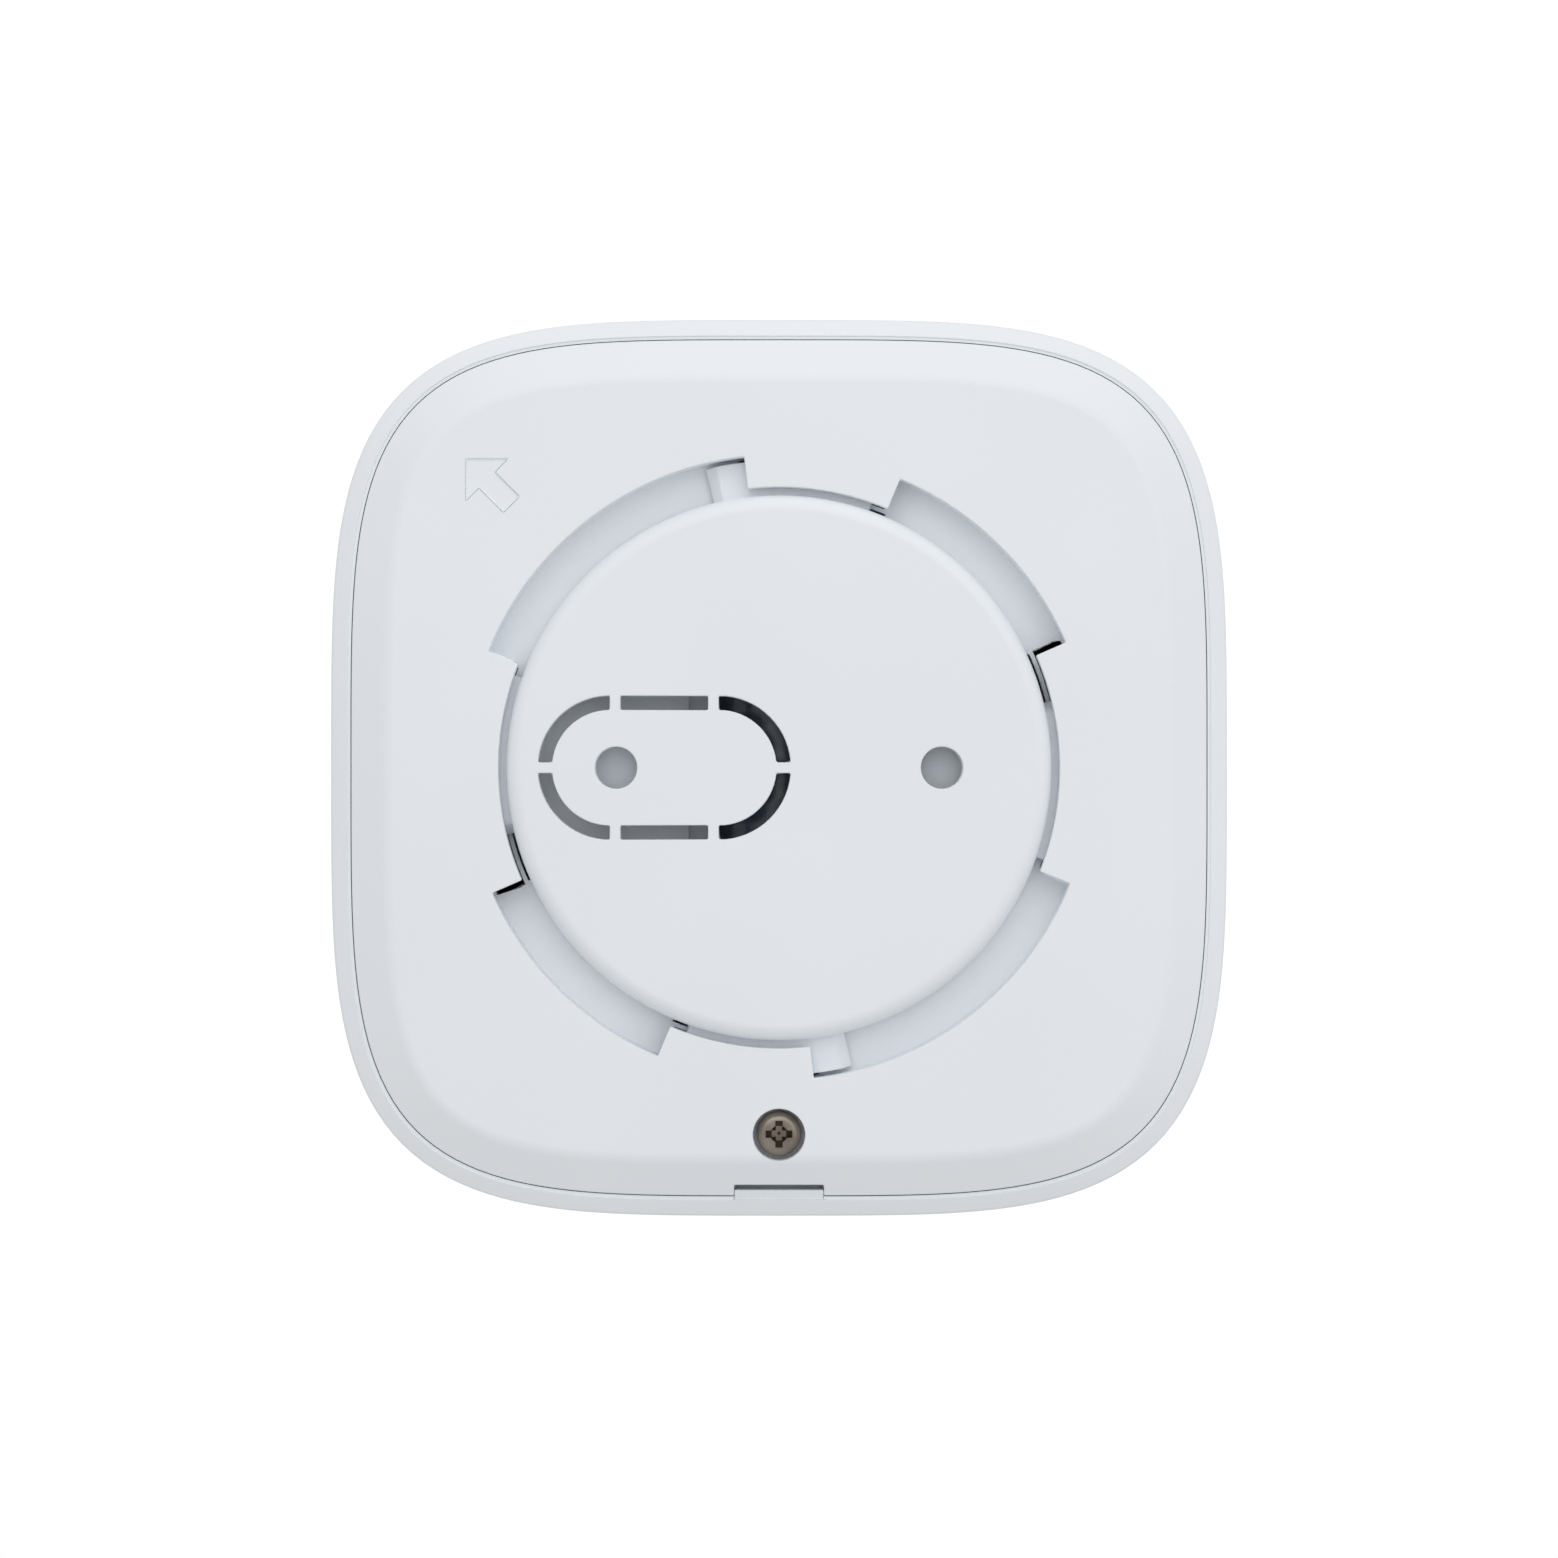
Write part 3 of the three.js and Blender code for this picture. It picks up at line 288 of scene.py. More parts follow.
# Slot, material, darker and lighter colour, lowest roughness, stretch of the marks along each
# axis, and their size in millimetres
METALS = (
    # Nickel over cold-headed steel, handled with a driver: warm grey, clouded and scuffed
    ("nickel_screw", "Steel nickel plated screw", "#7C7268", "#AEA397", 0.30, (1.0, 1.0, 1.0), 0.4),
    # Zinc over cold-headed steel: cool, bright and slightly blotched
    ("zinc_screw", "Steel bright zinc plated", "#B4B7BC", "#D8DADD", 0.30, (1.0, 1.0, 1.0), 0.4),
    # Nickel over rolled strip: upright rolling lines in a pale warm metal
    ("contact", "Steel strip nickel plated", "#B9B3A8", "#DAD5CB", 0.24, (1.0, 1.0, 0.06), 0.12),
    # Deep-drawn nickel steel: drawing lines along the can
    ("cell", "Steel can deep drawn nickel", "#B9BCC0", "#E0E2E4", 0.22, (1.0, 0.05, 1.0), 0.15),
    # Drawn and woven stainless wire: grey, with small bright rubs
    ("screen", "Stainless steel woven wire", "#8F9295", "#BFC2C4", 0.34, (1.0, 1.0, 1.0), 0.4),
    # Rolled brass sheet: yellow, with rolling lines one way
    ("brass", "Brass sheet rolled", "#B98F3E", "#E0BC6A", 0.28, (1.0, 0.05, 1.0), 0.2),
    # Drawn aluminium can: pale and even, with lines up its side
    ("can", "Aluminium can drawn", "#B9BCBF", "#DFE1E3", 0.30, (1.0, 1.0, 0.05), 0.2),
)

# Slot, material, colour, lowest roughness and how clear it is
RESINS = (
    # Dyed epoxy, cast: nearly black but glossy, since it passes only infrared
    ("receiver", "Epoxy cast dark receiver", "#1C1620", 0.12, 0.2),
    # Clear epoxy, cast: a wet shine with faint flow lines
    ("lamp", "Epoxy cast water clear lamp", "#F2F4F4", 0.05, 0.85),
    # Moulded polycarbonate: clear, with its end face slightly frosted
    ("pipe", "Polycarbonate moulded light pipe", "#EDF2F2", 0.12, 0.7),
)


def linear(text):
    """An sRGB hex colour as linear red, green, blue and alpha."""
    values = [int(text[i:i + 2], 16) / 255 for i in (1, 3, 5)]
    parts = [v / 12.92 if v <= 0.04045 else ((v + 0.055) / 1.055) ** 2.4 for v in values]
    return (*parts, 1.0)


def add_node(tree, kind, settings=None, stops=(), **inputs):
    """Adds a shader node. Inputs are values or the sockets that feed them, stops a ramp's colours."""
    made = tree.nodes.new(kind)
    for key, value in (settings or {}).items():
        setattr(made, key, value)
    for index, (position, colour) in enumerate(stops):
        made.color_ramp.elements[index].position = position
        made.color_ramp.elements[index].color = colour
    for key, value in inputs.items():
        name = key.replace("_", " ")
        found = [s for s in made.inputs if s.name == name and s.enabled]
        socket = found[0] if found else made.inputs[int(key.lstrip("i"))]
        if isinstance(value, bpy.types.NodeSocket):
            tree.links.new(value, socket)
        else:
            socket.default_value = value
    return made


def new_material(name, **uniform):
    """A material, its tree, its shader, and the position on the piece that patterns follow."""
    material = bpy.data.materials.new(name)
    material.use_nodes = True
    tree = material.node_tree
    tree.nodes.clear()
    shader = add_node(tree, "ShaderNodeBsdfPrincipled", **uniform)
    add_node(tree, "ShaderNodeOutputMaterial", Surface=shader.outputs["BSDF"])
    position = add_node(tree, "ShaderNodeTexCoord").outputs["Object"]
    return material, tree, shader, position


def feed(tree, shader, **patterns):
    """Links patterns to the shader's inputs."""
    for key, socket in patterns.items():
        tree.links.new(socket, shader.inputs[key.replace("_", " ")])


def moulded_plastic(name, dark, light, texture, depth, gloss):
    """Injection-moulded plastic: the eroded mould leaves a fine grain that scatters the light."""
    material, tree, shader, position = new_material(name, IOR=1.53)
    flow = add_node(
        tree, "ShaderNodeTexNoise", Vector=position, Scale=1 / (FLOW_SIZE * MM), Detail=1.0)
    colour = add_node(
        tree, "ShaderNodeValToRGB", stops=((0.3, dark), (0.7, light)), Fac=flow.outputs["Fac"])
    pits = add_node(
        tree, "ShaderNodeTexNoise", Vector=position, Scale=1 / (texture * MM), Detail=3.0)
    rough = add_node(
        tree, "ShaderNodeMapRange", Value=pits.outputs["Fac"], To_Min=gloss, To_Max=gloss + 0.14)
    bump = add_node(tree, "ShaderNodeBump", Height=pits.outputs["Fac"], Distance=depth * MM)
    feed(
        tree, shader, Base_Color=colour.outputs["Color"], Roughness=rough.outputs["Result"],
        Normal=bump.outputs["Normal"])
    return material


def worked_metal(name, dark, light, gloss, stretch, size):
    """Bare or plated metal: bright, with marks from how it was worked and clouds of dulling."""
    material, tree, shader, position = new_material(name, Metallic=1.0)
    along = add_node(tree, "ShaderNodeMapping", Vector=position, Scale=stretch)
    marks = add_node(
        tree, "ShaderNodeTexNoise", Vector=along.outputs["Vector"], Scale=1 / (size * MM), Detail=4.0)
    dulling = add_node(
        tree, "ShaderNodeTexNoise", Vector=position, Scale=1 / (DULLING_SIZE * MM), Detail=3.0)
    colour = add_node(
        tree, "ShaderNodeValToRGB", stops=((0.3, dark), (0.7, light)), Fac=dulling.outputs["Fac"])
    rough = add_node(
        tree, "ShaderNodeMapRange", Value=marks.outputs["Fac"], To_Min=gloss - 0.07, To_Max=gloss + 0.13)
    bump = add_node(tree, "ShaderNodeBump", Height=marks.outputs["Fac"], Distance=0.006 * MM)
    feed(
        tree, shader, Base_Color=colour.outputs["Color"], Roughness=rough.outputs["Result"],
        Normal=bump.outputs["Normal"])
    return material


def shrink_film():
    """Heat-shrunk PVC film: glossy, with faint rings where it drew in round the cell."""
    material, tree, shader, position = new_material(
        "PVC film heat shrunk", IOR=1.54, Coat_Weight=0.5, Coat_Roughness=0.1)
    cloud = add_node(tree, "ShaderNodeTexNoise", Vector=position, Scale=1 / (6.0 * MM), Detail=2.0)
    colour = add_node(
        tree, "ShaderNodeValToRGB", stops=((0.3, linear("#4A5563")), (0.7, linear("#5B6775"))),
        Fac=cloud.outputs["Fac"])
    rings = add_node(
        tree, "ShaderNodeTexWave", {"bands_direction": "Y"}, Vector=position,
        Scale=1 / (7.0 * MM), Distortion=2.0, Detail=2.0)
    rough = add_node(
        tree, "ShaderNodeMapRange", Value=cloud.outputs["Fac"], To_Min=0.22, To_Max=0.36)
    bump = add_node(tree, "ShaderNodeBump", Height=rings.outputs["Fac"], Distance=0.05 * MM)
    feed(
        tree, shader, Base_Color=colour.outputs["Color"], Roughness=rough.outputs["Result"],
        Normal=bump.outputs["Normal"])
    return material


def circuit_laminate():
    """Glass-epoxy board under green solder mask: its tracks stand up and show paler."""
    material, tree, shader, position = new_material("Glass epoxy board solder mask", IOR=1.52)
    cells = add_node(
        tree, "ShaderNodeTexVoronoi", {"distance": "MANHATTAN"}, Vector=position,
        Scale=1 / (3.2 * MM), Randomness=0.7)
    tracks = add_node(
        tree, "ShaderNodeMath", {"operation": "PINGPONG"}, i0=cells.outputs["Distance"], i1=0.18)
    raised = add_node(tree, "ShaderNodeMapRange", Value=tracks.outputs["Value"], To_Max=5.0)
    colour = add_node(
        tree, "ShaderNodeValToRGB", stops=((0.35, linear("#0F4A2C")), (0.5, linear("#1C6B41"))),
        Fac=raised.outputs["Result"])
    weave = add_node(tree, "ShaderNodeTexNoise", Vector=position, Scale=1 / (0.5 * MM), Detail=2.0)
    rough = add_node(
        tree, "ShaderNodeMapRange", Value=weave.outputs["Fac"], To_Min=0.26, To_Max=0.4)
    bump = add_node(tree, "ShaderNodeBump", Height=raised.outputs["Result"], Distance=0.03 * MM)
    feed(
        tree, shader, Base_Color=colour.outputs["Color"], Roughness=rough.outputs["Result"],
        Normal=bump.outputs["Normal"])
    return material


def clear_resin(name, colour, gloss, clear):
    """Cast or moulded clear resin: glossy, with slight flow lines on its skin."""
    material, tree, shader, position = new_material(
        name, IOR=1.55, Transmission_Weight=clear, Base_Color=linear(colour))
    flow = add_node(tree, "ShaderNodeTexNoise", Vector=position, Scale=1 / (1.2 * MM), Detail=2.0)
    rough = add_node(
        tree, "ShaderNodeMapRange", Value=flow.outputs["Fac"], To_Min=gloss, To_Max=gloss + 0.08)
    bump = add_node(tree, "ShaderNodeBump", Height=flow.outputs["Fac"], Distance=0.01 * MM)
    feed(tree, shader, Roughness=rough.outputs["Result"], Normal=bump.outputs["Normal"])
    return material


def make_materials(colours):
    """Every finish, by the name of its slot."""
    back = (*colours.back, 1.0)
    back_shade = (*colours.back_shade, 1.0)
    cover = (*colours.cover, 1.0)
    cover_shade = (*colours.cover_shade, 1.0)
    made = {}
    # White ABS from an eroded mould: matte and even, with a drift of shade too slight to
    # notice. The grain is about 0.2 mm across, and is drawn coarser so that it shows.
    made["housing"] = moulded_plastic("ABS moulded white back", back_shade, back, 0.35, 0.010, 0.44)
    made["cover"] = moulded_plastic("ABS moulded white cover", cover_shade, cover, 0.35, 0.010, 0.44)
    # The bracket's mould is a little smoother, so it is slightly less matte
    made["bracket"] = moulded_plastic(
        "ABS moulded white bracket", back_shade, back, 0.30, 0.008, 0.40)
    for slot, name, dark, light, *surface in MOULDED:
        made[slot] = moulded_plastic(name, linear(dark), linear(light), *surface)
    for slot, name, dark, light, *surface in METALS:
        made[slot] = worked_metal(name, linear(dark), linear(light), *surface)
    for slot, *resin in RESINS:
        made[slot] = clear_resin(*resin)
    made["sleeve"] = shrink_film()
    made["board"] = circuit_laminate()
    return made


CAD_FINISHES = {
    "board_screw_1": "zinc_screw",
    "board_screw_2": "zinc_screw",
    "board_screw_3": "zinc_screw",
    "battery_contact_positive": "contact",
    "battery_contact_negative": "contact",
    "circuit_board": "board",
    "microcontroller": "chip",
    "boost_inductor": "ferrite",
    "reservoir_capacitor": "can",
    "status_led": "lamp",
    "infrared_emitter": "lamp",
    "light_receiver": "receiver",
    "tact_switch_body": "black",
    "tact_switch_plunger": "black",
    "chamber_base": "black",
    "chamber_labyrinth": "black",
    "sounder_housing": "sounder",
    "sounder_retainer": "sounder",
    "sounder_disc": "brass",
    "sounder_ceramic": "ceramic",
    "sounder_lead_red": "red_lead",
    "sounder_lead_black": "black_lead",
}

finishes = {}


# ---------------------------------------------------------------- modelling


def deselect():
    """Leaves nothing selected."""
    for piece in bpy.context.selected_objects:
        piece.select_set(False)


def activate(piece):
    """Selects one piece alone and makes it the active one."""
    deselect()
    piece.select_set(True)
    bpy.context.view_layer.objects.active = piece


def outline_point(angle, inset, level):
    """A point in from the rounded-square outline, in metres."""
    across = math.cos(angle)
    up = math.sin(angle)
    reach = HALF_WIDTH / (abs(across) ** OUTLINE_POWER + abs(up) ** OUTLINE_POWER) ** (1 / OUTLINE_POWER)
    normal = Vector((across ** 3, up ** 3, 0)).normalized()
    point = Vector((across * reach, up * reach, 0)) - normal * inset
    return Vector((point.x, point.y, level)) * MM


def start_face(name, sides, shape):
    """A flat face in edit mode, selected. shape gives each of its points from its turn."""
    deselect()
    bpy.ops.mesh.primitive_circle_add(vertices=sides, radius=1.0, fill_type="NGON")
    piece = bpy.context.object
    piece.name = name
    for i, vertex in enumerate(piece.data.vertices):
        vertex.co = shape(i)
    edit(piece)
    return piece


def edit(piece):
    """Opens a piece in edit mode with all of its faces selected."""
    activate(piece)
    bpy.ops.object.mode_set(mode="EDIT")
    bpy.ops.mesh.select_mode(type="FACE")
    bpy.ops.mesh.select_all(action="SELECT")


def follow(profile):
    """Carries the selected face through (inset, level) steps of an upright profile."""
    for (inset, level), (next_inset, next_level) in zip(profile, profile[1:]):
        rise = (0, 0, (next_level - level) * MM)
        if next_inset == inset:
            bpy.ops.mesh.extrude_region_move(TRANSFORM_OT_translate={"value": rise})
        else:
            bpy.ops.mesh.inset(thickness=(next_inset - inset) * MM, depth=0)
            bpy.ops.transform.translate(value=rise)


def pick_faces(piece, level, facing):
    """Selects the faces whose middle is at a height and that face up or down."""
    bpy.ops.object.mode_set(mode="OBJECT")
    for face in piece.data.polygons:
        near = abs(face.center.z / MM - level) < 0.01
        face.select = near and face.normal.z * facing > 0.9
    bpy.ops.object.mode_set(mode="EDIT")


def close_edit(piece):
    """Points every face outwards and leaves edit mode."""
    bpy.ops.mesh.select_all(action="SELECT")
    bpy.ops.mesh.remove_doubles(threshold=0.002 * MM)
    bpy.ops.mesh.normals_make_consistent(inside=False)
    bpy.ops.object.mode_set(mode="OBJECT")
    return piece


def outline_body(name, profile):
    """A closed solid on the rounded-square outline, from its (inset, level) profile."""
    inset, level = profile[0]
    step = 2 * math.pi / OUTLINE_SIDES
    piece = start_face(name, OUTLINE_SIDES, lambda i: outline_point(i * step, inset, level))
    follow(profile)
    return close_edit(piece)


def round_body(name, profile, x=0.0, y=0.0, sides=ROUND_SIDES):
    """A closed round solid: a disc drawn up and scaled through (radius, level) steps."""
    radius, level = profile[0]
    step = 2 * math.pi / sides

    def rim(i):
        return Vector((x + radius * math.cos(i * step), y + radius * math.sin(i * step), level)) * MM

    piece = start_face(name, sides, rim)
    middle = Vector((x, y, 0)) * MM
    for (radius, level), (next_radius, next_level) in zip(profile, profile[1:]):
        rise = (0, 0, (next_level - level) * MM)
        bpy.ops.mesh.extrude_region_move(TRANSFORM_OT_translate={"value": rise})
        scale = next_radius / radius
        bpy.ops.transform.resize(value=(scale, scale, 1), center_override=middle)
    return close_edit(piece)


def rod(name, radius, low, high, x=0.0, y=0.0, sides=HOLE_SIDES):
    """An upright round bar."""
    deselect()
    middle = Vector((x, y, (low + high) / 2)) * MM
    bpy.ops.mesh.primitive_cylinder_add(
        vertices=sides, radius=radius * MM, depth=(high - low) * MM, location=middle)
    return settle(name)


def block(name, size, centre, turn=0.0):
    """An upright block, turned about the upright axis through the origin."""
    deselect()
    bpy.ops.mesh.primitive_cube_add(size=MM, location=Vector(centre) * MM)
    piece = bpy.context.object
    piece.scale = size
    settle(name)
    if turn:
        piece.data.transform(Matrix.Rotation(math.radians(turn), 4, "Z"))
    return piece


def settle(name):
    """Moves the new primitive's place into its mesh."""
    piece = bpy.context.object
    piece.name = name
    bpy.ops.object.transform_apply(location=True, rotation=True, scale=True)
    return piece


def spun_block(name, inner, outer, start, end, low, high):
    """A sector of a ring: an upright rectangle spun about the middle."""
    deselect()
    bpy.ops.mesh.primitive_plane_add(size=MM)
    piece = bpy.context.object
    piece.name = name
    corners = [(inner, low), (outer, low), (inner, high), (outer, high)]
    angle = math.radians(start)
    for vertex, (radius, level) in zip(piece.data.vertices, corners):
        vertex.co = Vector((radius * math.cos(angle), radius * math.sin(angle), level)) * MM
    edit(piece)
    steps = max(2, round((end - start) / 1.25))
    sweep = math.radians(end - start)
    bpy.ops.mesh.spin(steps=steps, angle=-sweep, center=(0, 0, 0), axis=(0, 0, 1))
    return close_edit(piece)


def combine(piece, tools, operation):
    """Joins tools to a piece or cuts them out of it, and removes them."""
    for tool in tools:
        activate(piece)
        modifier = piece.modifiers.new("combine", "BOOLEAN")
        modifier.operation = operation
        modifier.solver = "EXACT"
        modifier.object = tool
        bpy.ops.object.modifier_apply(modifier=modifier.name)
        bpy.data.objects.remove(tool)
    return piece


def group(tools):
    """Several cutters that don't touch, as one."""
    deselect()
    for tool in tools:
        tool.select_set(True)
    bpy.context.view_layer.objects.active = tools[0]
    bpy.ops.object.join()
    return tools[0]


def copy_of(piece, name):
    """A copy with a mesh of its own."""
    twin = piece.copy()
    twin.data = piece.data.copy()
    twin.name = name
    bpy.context.collection.objects.link(twin)
    return twin


def turned_copies(piece, count, step):
    """A piece and its copies, each turned further about the upright axis."""
    copies = [copy_of(piece, piece.name) for _ in range(count - 1)]
    for i, twin in enumerate(copies):
        twin.data.transform(Matrix.Rotation(math.radians((i + 1) * step), 4, "Z"))
    return [piece, *copies]


def slot_cutter(name, length, width, low, high):
    """An upright bar with round ends, along X and centred on the origin."""
    piece = rod(name, width / 2, low, high, sides=24)
    shift = (length - width) / 2 * MM
    for vertex in piece.data.vertices:
        side = 1 if vertex.co.x > 0.001 * MM else -1
        vertex.co.x += side * shift
    return piece


def soften(piece, width, levels, sharpness=35):
    """Rounds the sharp edges that lie at the given heights, and shades the piece."""
    activate(piece)
    bpy.ops.object.mode_set(mode="EDIT")
    bpy.ops.mesh.select_mode(type="EDGE")
    bpy.ops.mesh.select_all(action="SELECT")
    bpy.ops.mesh.remove_doubles(threshold=0.004 * MM)
    bpy.ops.mesh.select_all(action="DESELECT")
    bpy.ops.mesh.edges_select_sharp(sharpness=math.radians(sharpness))
    bpy.ops.object.mode_set(mode="OBJECT")
    points = piece.data.vertices
    for edge in piece.data.edges:
        heights = [points[i].co.z / MM for i in edge.vertices]
        here = any(all(abs(height - level) < 0.012 for height in heights) for level in levels)
        edge.select = edge.select and here
    bpy.ops.object.mode_set(mode="EDIT")
    bpy.ops.mesh.bevel(offset=width * MM, segments=2, affect="EDGES", clamp_overlap=False)
    bpy.ops.object.mode_set(mode="OBJECT")
    smooth(piece)
    return piece


def smooth(piece, angle=30):
    """Shades round faces smooth and keeps the flat ones flat."""
    activate(piece)
    bpy.ops.object.shade_smooth_by_angle(angle=math.radians(angle))
    modifier = piece.modifiers.new("normals", "WEIGHTED_NORMAL")
    modifier.keep_sharp = True
    bpy.ops.object.modifier_apply(modifier=modifier.name)


def finish_piece(piece, body, slot, finish, *nodes):
    """Gives a finished piece its material and its body, and hides the frame nodes it stands for. Its slot
    is not used.
    """
    if not piece.data.polygons:
        raise RuntimeError(piece.name + " has no faces left")
    piece.data.materials.clear()
    piece.data.materials.append(finishes[finish])
    if nodes:
        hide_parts(*nodes)
    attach(piece, body)


# ---------------------------------------------------------------- back casing


def arc_points(start, end, radius):
    """(angle, radius) points about 2 degrees apart along an arc."""
    steps = max(2, round((end - start) / 2.0))
    return [(start + (end - start) * i / steps, radius) for i in range(steps + 1)]


def recess_rim():
    """(angle, radius) points round the recess: lips at one radius and pockets at another."""
    points = []
    for index, (start, end) in enumerate(LIPS):
        next_start = LIPS[(index + 1) % len(LIPS)][0]
        points += arc_points(start, end, LIP_RADIUS)
        points += arc_points(end, end + (next_start - end) % 360, POCKET_RADIUS)
    return points


def recess_cutter(name, rim, top):
    """A solid that stands on the recess floor, within a rim of (angle, radius) points."""
    def shape(i):
        angle, radius = rim[i]
        turn = math.radians(angle)
        return Vector((radius * math.cos(turn), radius * math.sin(turn), FLOOR)) * MM

    piece = start_face(name, len(rim), shape)
    follow([(0, FLOOR), (0, top)])
    return close_edit(piece)


def recess_cutters():
    """The opening between the lips, and the groove that runs on behind them."""
    rim = recess_rim()
    round_rim = [(angle, POCKET_RADIUS) for angle, _ in rim]
    opening = recess_cutter("opening", rim, CEILING + OVERRUN)
    groove = recess_cutter("groove", round_rim, BACK - LIP_THICKNESS)
    return [opening, groove]


def floor_windows():
    """Openings in the recess floor, where the mould reached up to form the lips."""
    def opening(inner, outer, start, end):
        return spun_block("window", inner, outer, start, end, WINDOW_UNDER, WINDOW_TOP)

    windows = []
    for i, (start, end) in enumerate(LIPS):
        by_side = i % 2 == 1
        windows.append(
            opening(WINDOW_INNER, WINDOW_OUTER, start + WINDOW_START, end + WINDOW_END[by_side]))
        if by_side:
            windows.append(
                opening(SLIT_INNER, SLIT_OUTER, end + SLIT_BY_SIDE[0], end + SLIT_BY_SIDE[1]))
        else:
            windows.append(
                opening(SLIT_INNER, SLIT_OUTER, start + SLIT_BY_END[0], start + SLIT_BY_END[1]))
            windows.append(
                opening(WINDOW_OUTER - DOT_WIDTH, WINDOW_OUTER, end + DOT_ANGLES[0], end + DOT_ANGLES[1]))
    return windows


def bay_body(name, radius, half_length, high):
    """A battery bay as a closed solid, with a round floor and straight upper walls."""
    low = rod(name, radius, -half_length, half_length, sides=FINE_SIDES)
    low.data.transform(Matrix.Rotation(math.pi / 2, 4, "X"))
    low.data.transform(Matrix.Translation((0, 0, CELL_AXIS * MM)))
    upper_size = (2 * radius, 2 * half_length, high - CELL_AXIS)
    upper = block("upper", upper_size, (0, 0, (high + CELL_AXIS) / 2))
    return combine(low, [upper], "UNION")


def arrow_cutter(depth):
    """A fat arrow, sunk in the back, that points to the corner."""
    half_shaft = ARROW_SHAFT_WIDTH / 2 * math.sqrt(0.5)
    run = ARROW_SHAFT_LENGTH * math.sqrt(0.5)
    neck = ARROW_HEAD / 2
    corners = [
        (0, 0), (0, -ARROW_HEAD), (neck - half_shaft, -neck - half_shaft),
        (neck - half_shaft + run, -neck - half_shaft - run),
        (neck + half_shaft + run, -neck + half_shaft - run),
        (neck + half_shaft, -neck + half_shaft), (ARROW_HEAD, 0),
    ]
    corner_x = ARROW_INSET[0] - HALF_WIDTH
    corner_y = HALF_WIDTH - ARROW_INSET[1]

    def shape(i):
        x, y = corners[i]
        return Vector((corner_x + x, corner_y + y, BACK - depth)) * MM

    piece = start_face("arrow", len(corners), shape)
    follow([(0, BACK - depth), (0, BACK + OVERRUN)])
    return close_edit(piece)


def housing_shell():
    """The back casing's outside and its hollow: skirt, seam step, slope and flat back."""
    blend_start = FLAT_INSET - SHOULDER_BLEND
    seam_floor = SEAM_LEVEL - SEAM_DEPTH
    outside = [
        (SKIRT_INSET, SKIRT_UNDER), (SKIRT_INSET, seam_floor), (SEAM_INSET, seam_floor),
        (SEAM_INSET, slope_level(SEAM_INSET)), (blend_start, slope_level(blend_start))]
    for i in range(1, SHOULDER_STEPS + 1):
        along = i / SHOULDER_STEPS
        inset = FLAT_INSET - SHOULDER_BLEND + 2 * SHOULDER_BLEND * along
        drop = SLOPE * (2 * SHOULDER_BLEND) * (1 - along) ** 2 / 2
        outside.append((inset, BACK - drop))
    shell = outline_body("back_casing", outside)
    inner = SKIRT_INSET + SKIRT_WALL
    inside = outline_body("inside", [
        (inner, SKIRT_UNDER - OVERRUN), (inner, slope_level(inner) - WALL), (FLAT_INSET, BACK - WALL)])
    return combine(shell, [inside], "DIFFERENCE")


def hooks_on_sides(size):
    """A block of one size on each of the three sides that snap."""
    centre = (0, HALF_WIDTH - HOOK_INSET, slope_level(HOOK_INSET) - HOOK_DROP)
    return group([block("hook", size, centre, turn) for turn in HOOK_TURNS])


def twist_stops():
    """Small blocks at the lock end of two of the tabs' paths."""
    stops = []
    for angle in (TAB_FIRST_ANGLE, TAB_FIRST_ANGLE + 180):
        end = angle - TAB_HALF_ANGLE - STOP_ANGLE / 2
        stops.append(spun_block(
            "stop", STOP_INNER, POCKET_RADIUS + 0.3, end - STOP_ANGLE, end, FLOOR - 0.5, BACK - 1))
    return group(stops)


